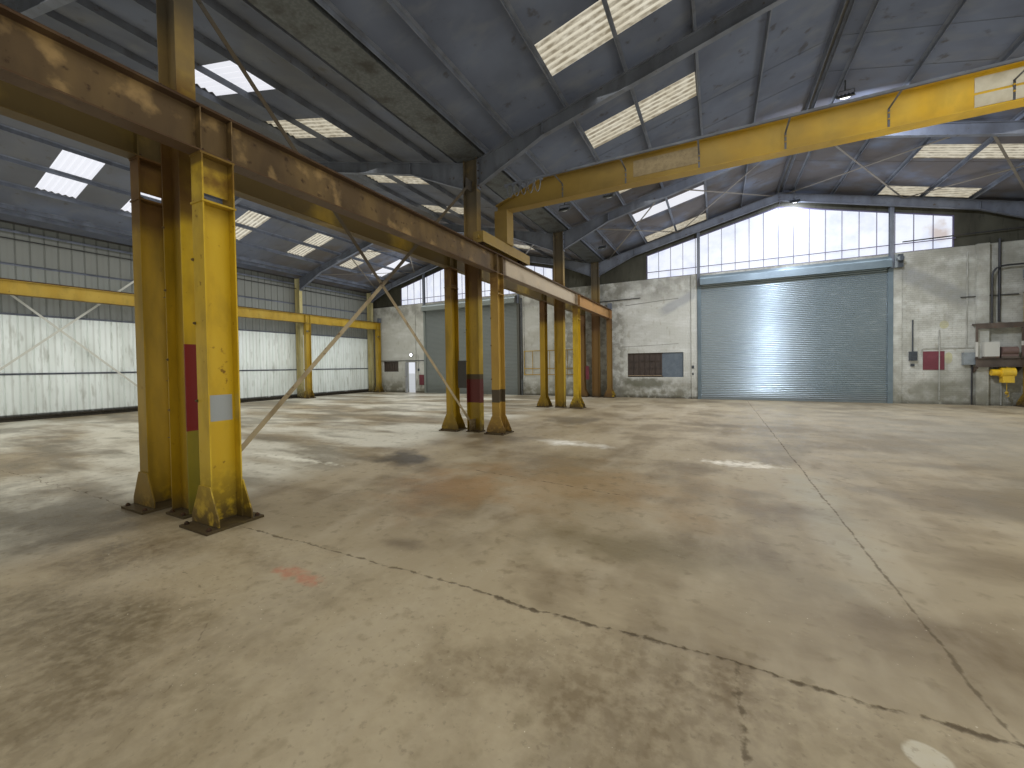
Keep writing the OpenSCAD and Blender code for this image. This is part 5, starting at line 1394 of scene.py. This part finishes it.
piece("girder_sign_plate", [sign(3.78, 5.05, 0.33, 0.34)], plate_paint, "crane")
piece("girder_pale_plate", [sign(8.88, 9.85, 0.415, 0.23), sign(8.88, 9.85, 0.17, 0.19)], pale_plate, "crane")
TRACK_PITCH = 1.42
GIRDER_FLANGE = 0.016
WEB_TOP = 0.574
crane_bits = []
for i in range(9):
    x = COLUMN_OFF + 1.535 + i * TRACK_PITCH
    for z in (0.2, 0.3):
        crane_bits += bolt((x, WEB_FACE - 0.006, GIRDER_LOW + z), (0, -1, 0), 0.014)
for x in (2.6, 6.4, 10.2, 13.0):
    y = WEB_FACE - 0.001
    crane_bits.append(bar((x, y, GIRDER_LOW + GIRDER_FLANGE), (x, y, GIRDER_LOW + WEB_TOP), 0.012, 0.006,
                          up=(0, 1, 0)))
piece("girder_bolts", crane_bits, crane_paint, "crane")

# %% [markdown]
# ## Light
# The day outside is overcast, and it comes in through the rooflights and the glazed gables. Large soft
# lamps below each roof stand for that light and for its return from the floor, and weaker ones at the
# sides model the steel. A plain pale ground lies round the building; it is stage and not part of it.

# %% Light the shed
day = bpy.data.worlds.new("overcast_sky")
bpy.context.scene.world = day
day.use_nodes = True
day.node_tree.nodes["Background"].inputs[0].default_value = linear("#eef2fa")
day.node_tree.nodes["Background"].inputs[1].default_value = 0.9
# Inside, walls and roof hide the sky, so no render time goes into aiming rays at it
day.cycles.sampling_method = "NONE"


def panel_lamp(name, centre, size, facing, power, colour="#ffffff"):
    """A soft rectangular lamp, hidden from the camera. facing is the way it shines."""
    lamp = bpy.data.lights.new(name, "AREA")
    lamp.shape = "RECTANGLE"
    lamp.size, lamp.size_y = size
    lamp.energy = power
    lamp.color = linear(colour)[:3]
    holder = bpy.data.objects.new(name, lamp)
    holder.location = centre
    holder.rotation_mode = "QUATERNION"
    holder.rotation_quaternion = Vector(facing).to_track_quat("-Z", "Y")
    holder.visible_camera = False
    bpy.context.scene.collection.objects.link(holder)
    return holder


for side, name in ((-1, "left"), (1, "right")):
    down = panel_lamp(name + "_bay_daylight", (side * HALF, 0, 7.4), (9.0, 34.0), (0, 0, -1), 1500, "#fbf8f0")
    lift = panel_lamp(name + "_floor_return", (side * HALF, 0, 0.6), (13.0, 34.0), (0, 0, 1), 520, "#f4f2ee")
    gable = panel_lamp(name + "_gable_light", (side * HALF, 17.1, 6.2), (10.0, 1.2), (0, -1, -0.3), 380,
                       "#eef3ff")
    for lamp in (down, lift, gable):
        lamp.visible_glossy = False
wash = panel_lamp("left_wall_wash", (-9.0, 2.0, 4.2), (26.0, 4.0), (-1, 0, 0.1), 330, "#f4f7ff")
wash.visible_glossy = False
fill = panel_lamp("right_bay_fill", (14.0, 1.0, 3.2), (28.0, 4.0), (-1, 0, 0), 620, "#fffaf0")
fill.visible_glossy = False

for x, y, power in ((*LIT[0], 560), (*LIT[1], 60)):
    face = lamp_face(x, y)
    panel_lamp(f"floodlight_beam_{round(y)}", face + lamp_axis * 0.06, (0.3, 0.2), lamp_axis, power,
               "#e6edff")

ground_finish = finish(
    "pale_ground", "#d8d8d4",
    coats=[(clouds(3.0, 0.4, 0.6), "#d0d0cc", 0.5, 0.9)], rough=0.9)
ground_mesh = bpy.data.meshes.new("ground")
ground_mesh.from_pydata([(-90, -90, 0), (90, -90, 0), (90, 90, 0), (-90, 90, 0)], [], [(0, 1, 2, 3)])
ground_mesh.materials.append(ground_finish)
ground = bpy.data.objects.new("ground", ground_mesh)
bpy.context.scene.collection.objects.link(ground)

# %% Measure and finish
print("triangles added", sum(piece_sizes.values()), "most in one piece", max(piece_sizes.values()))
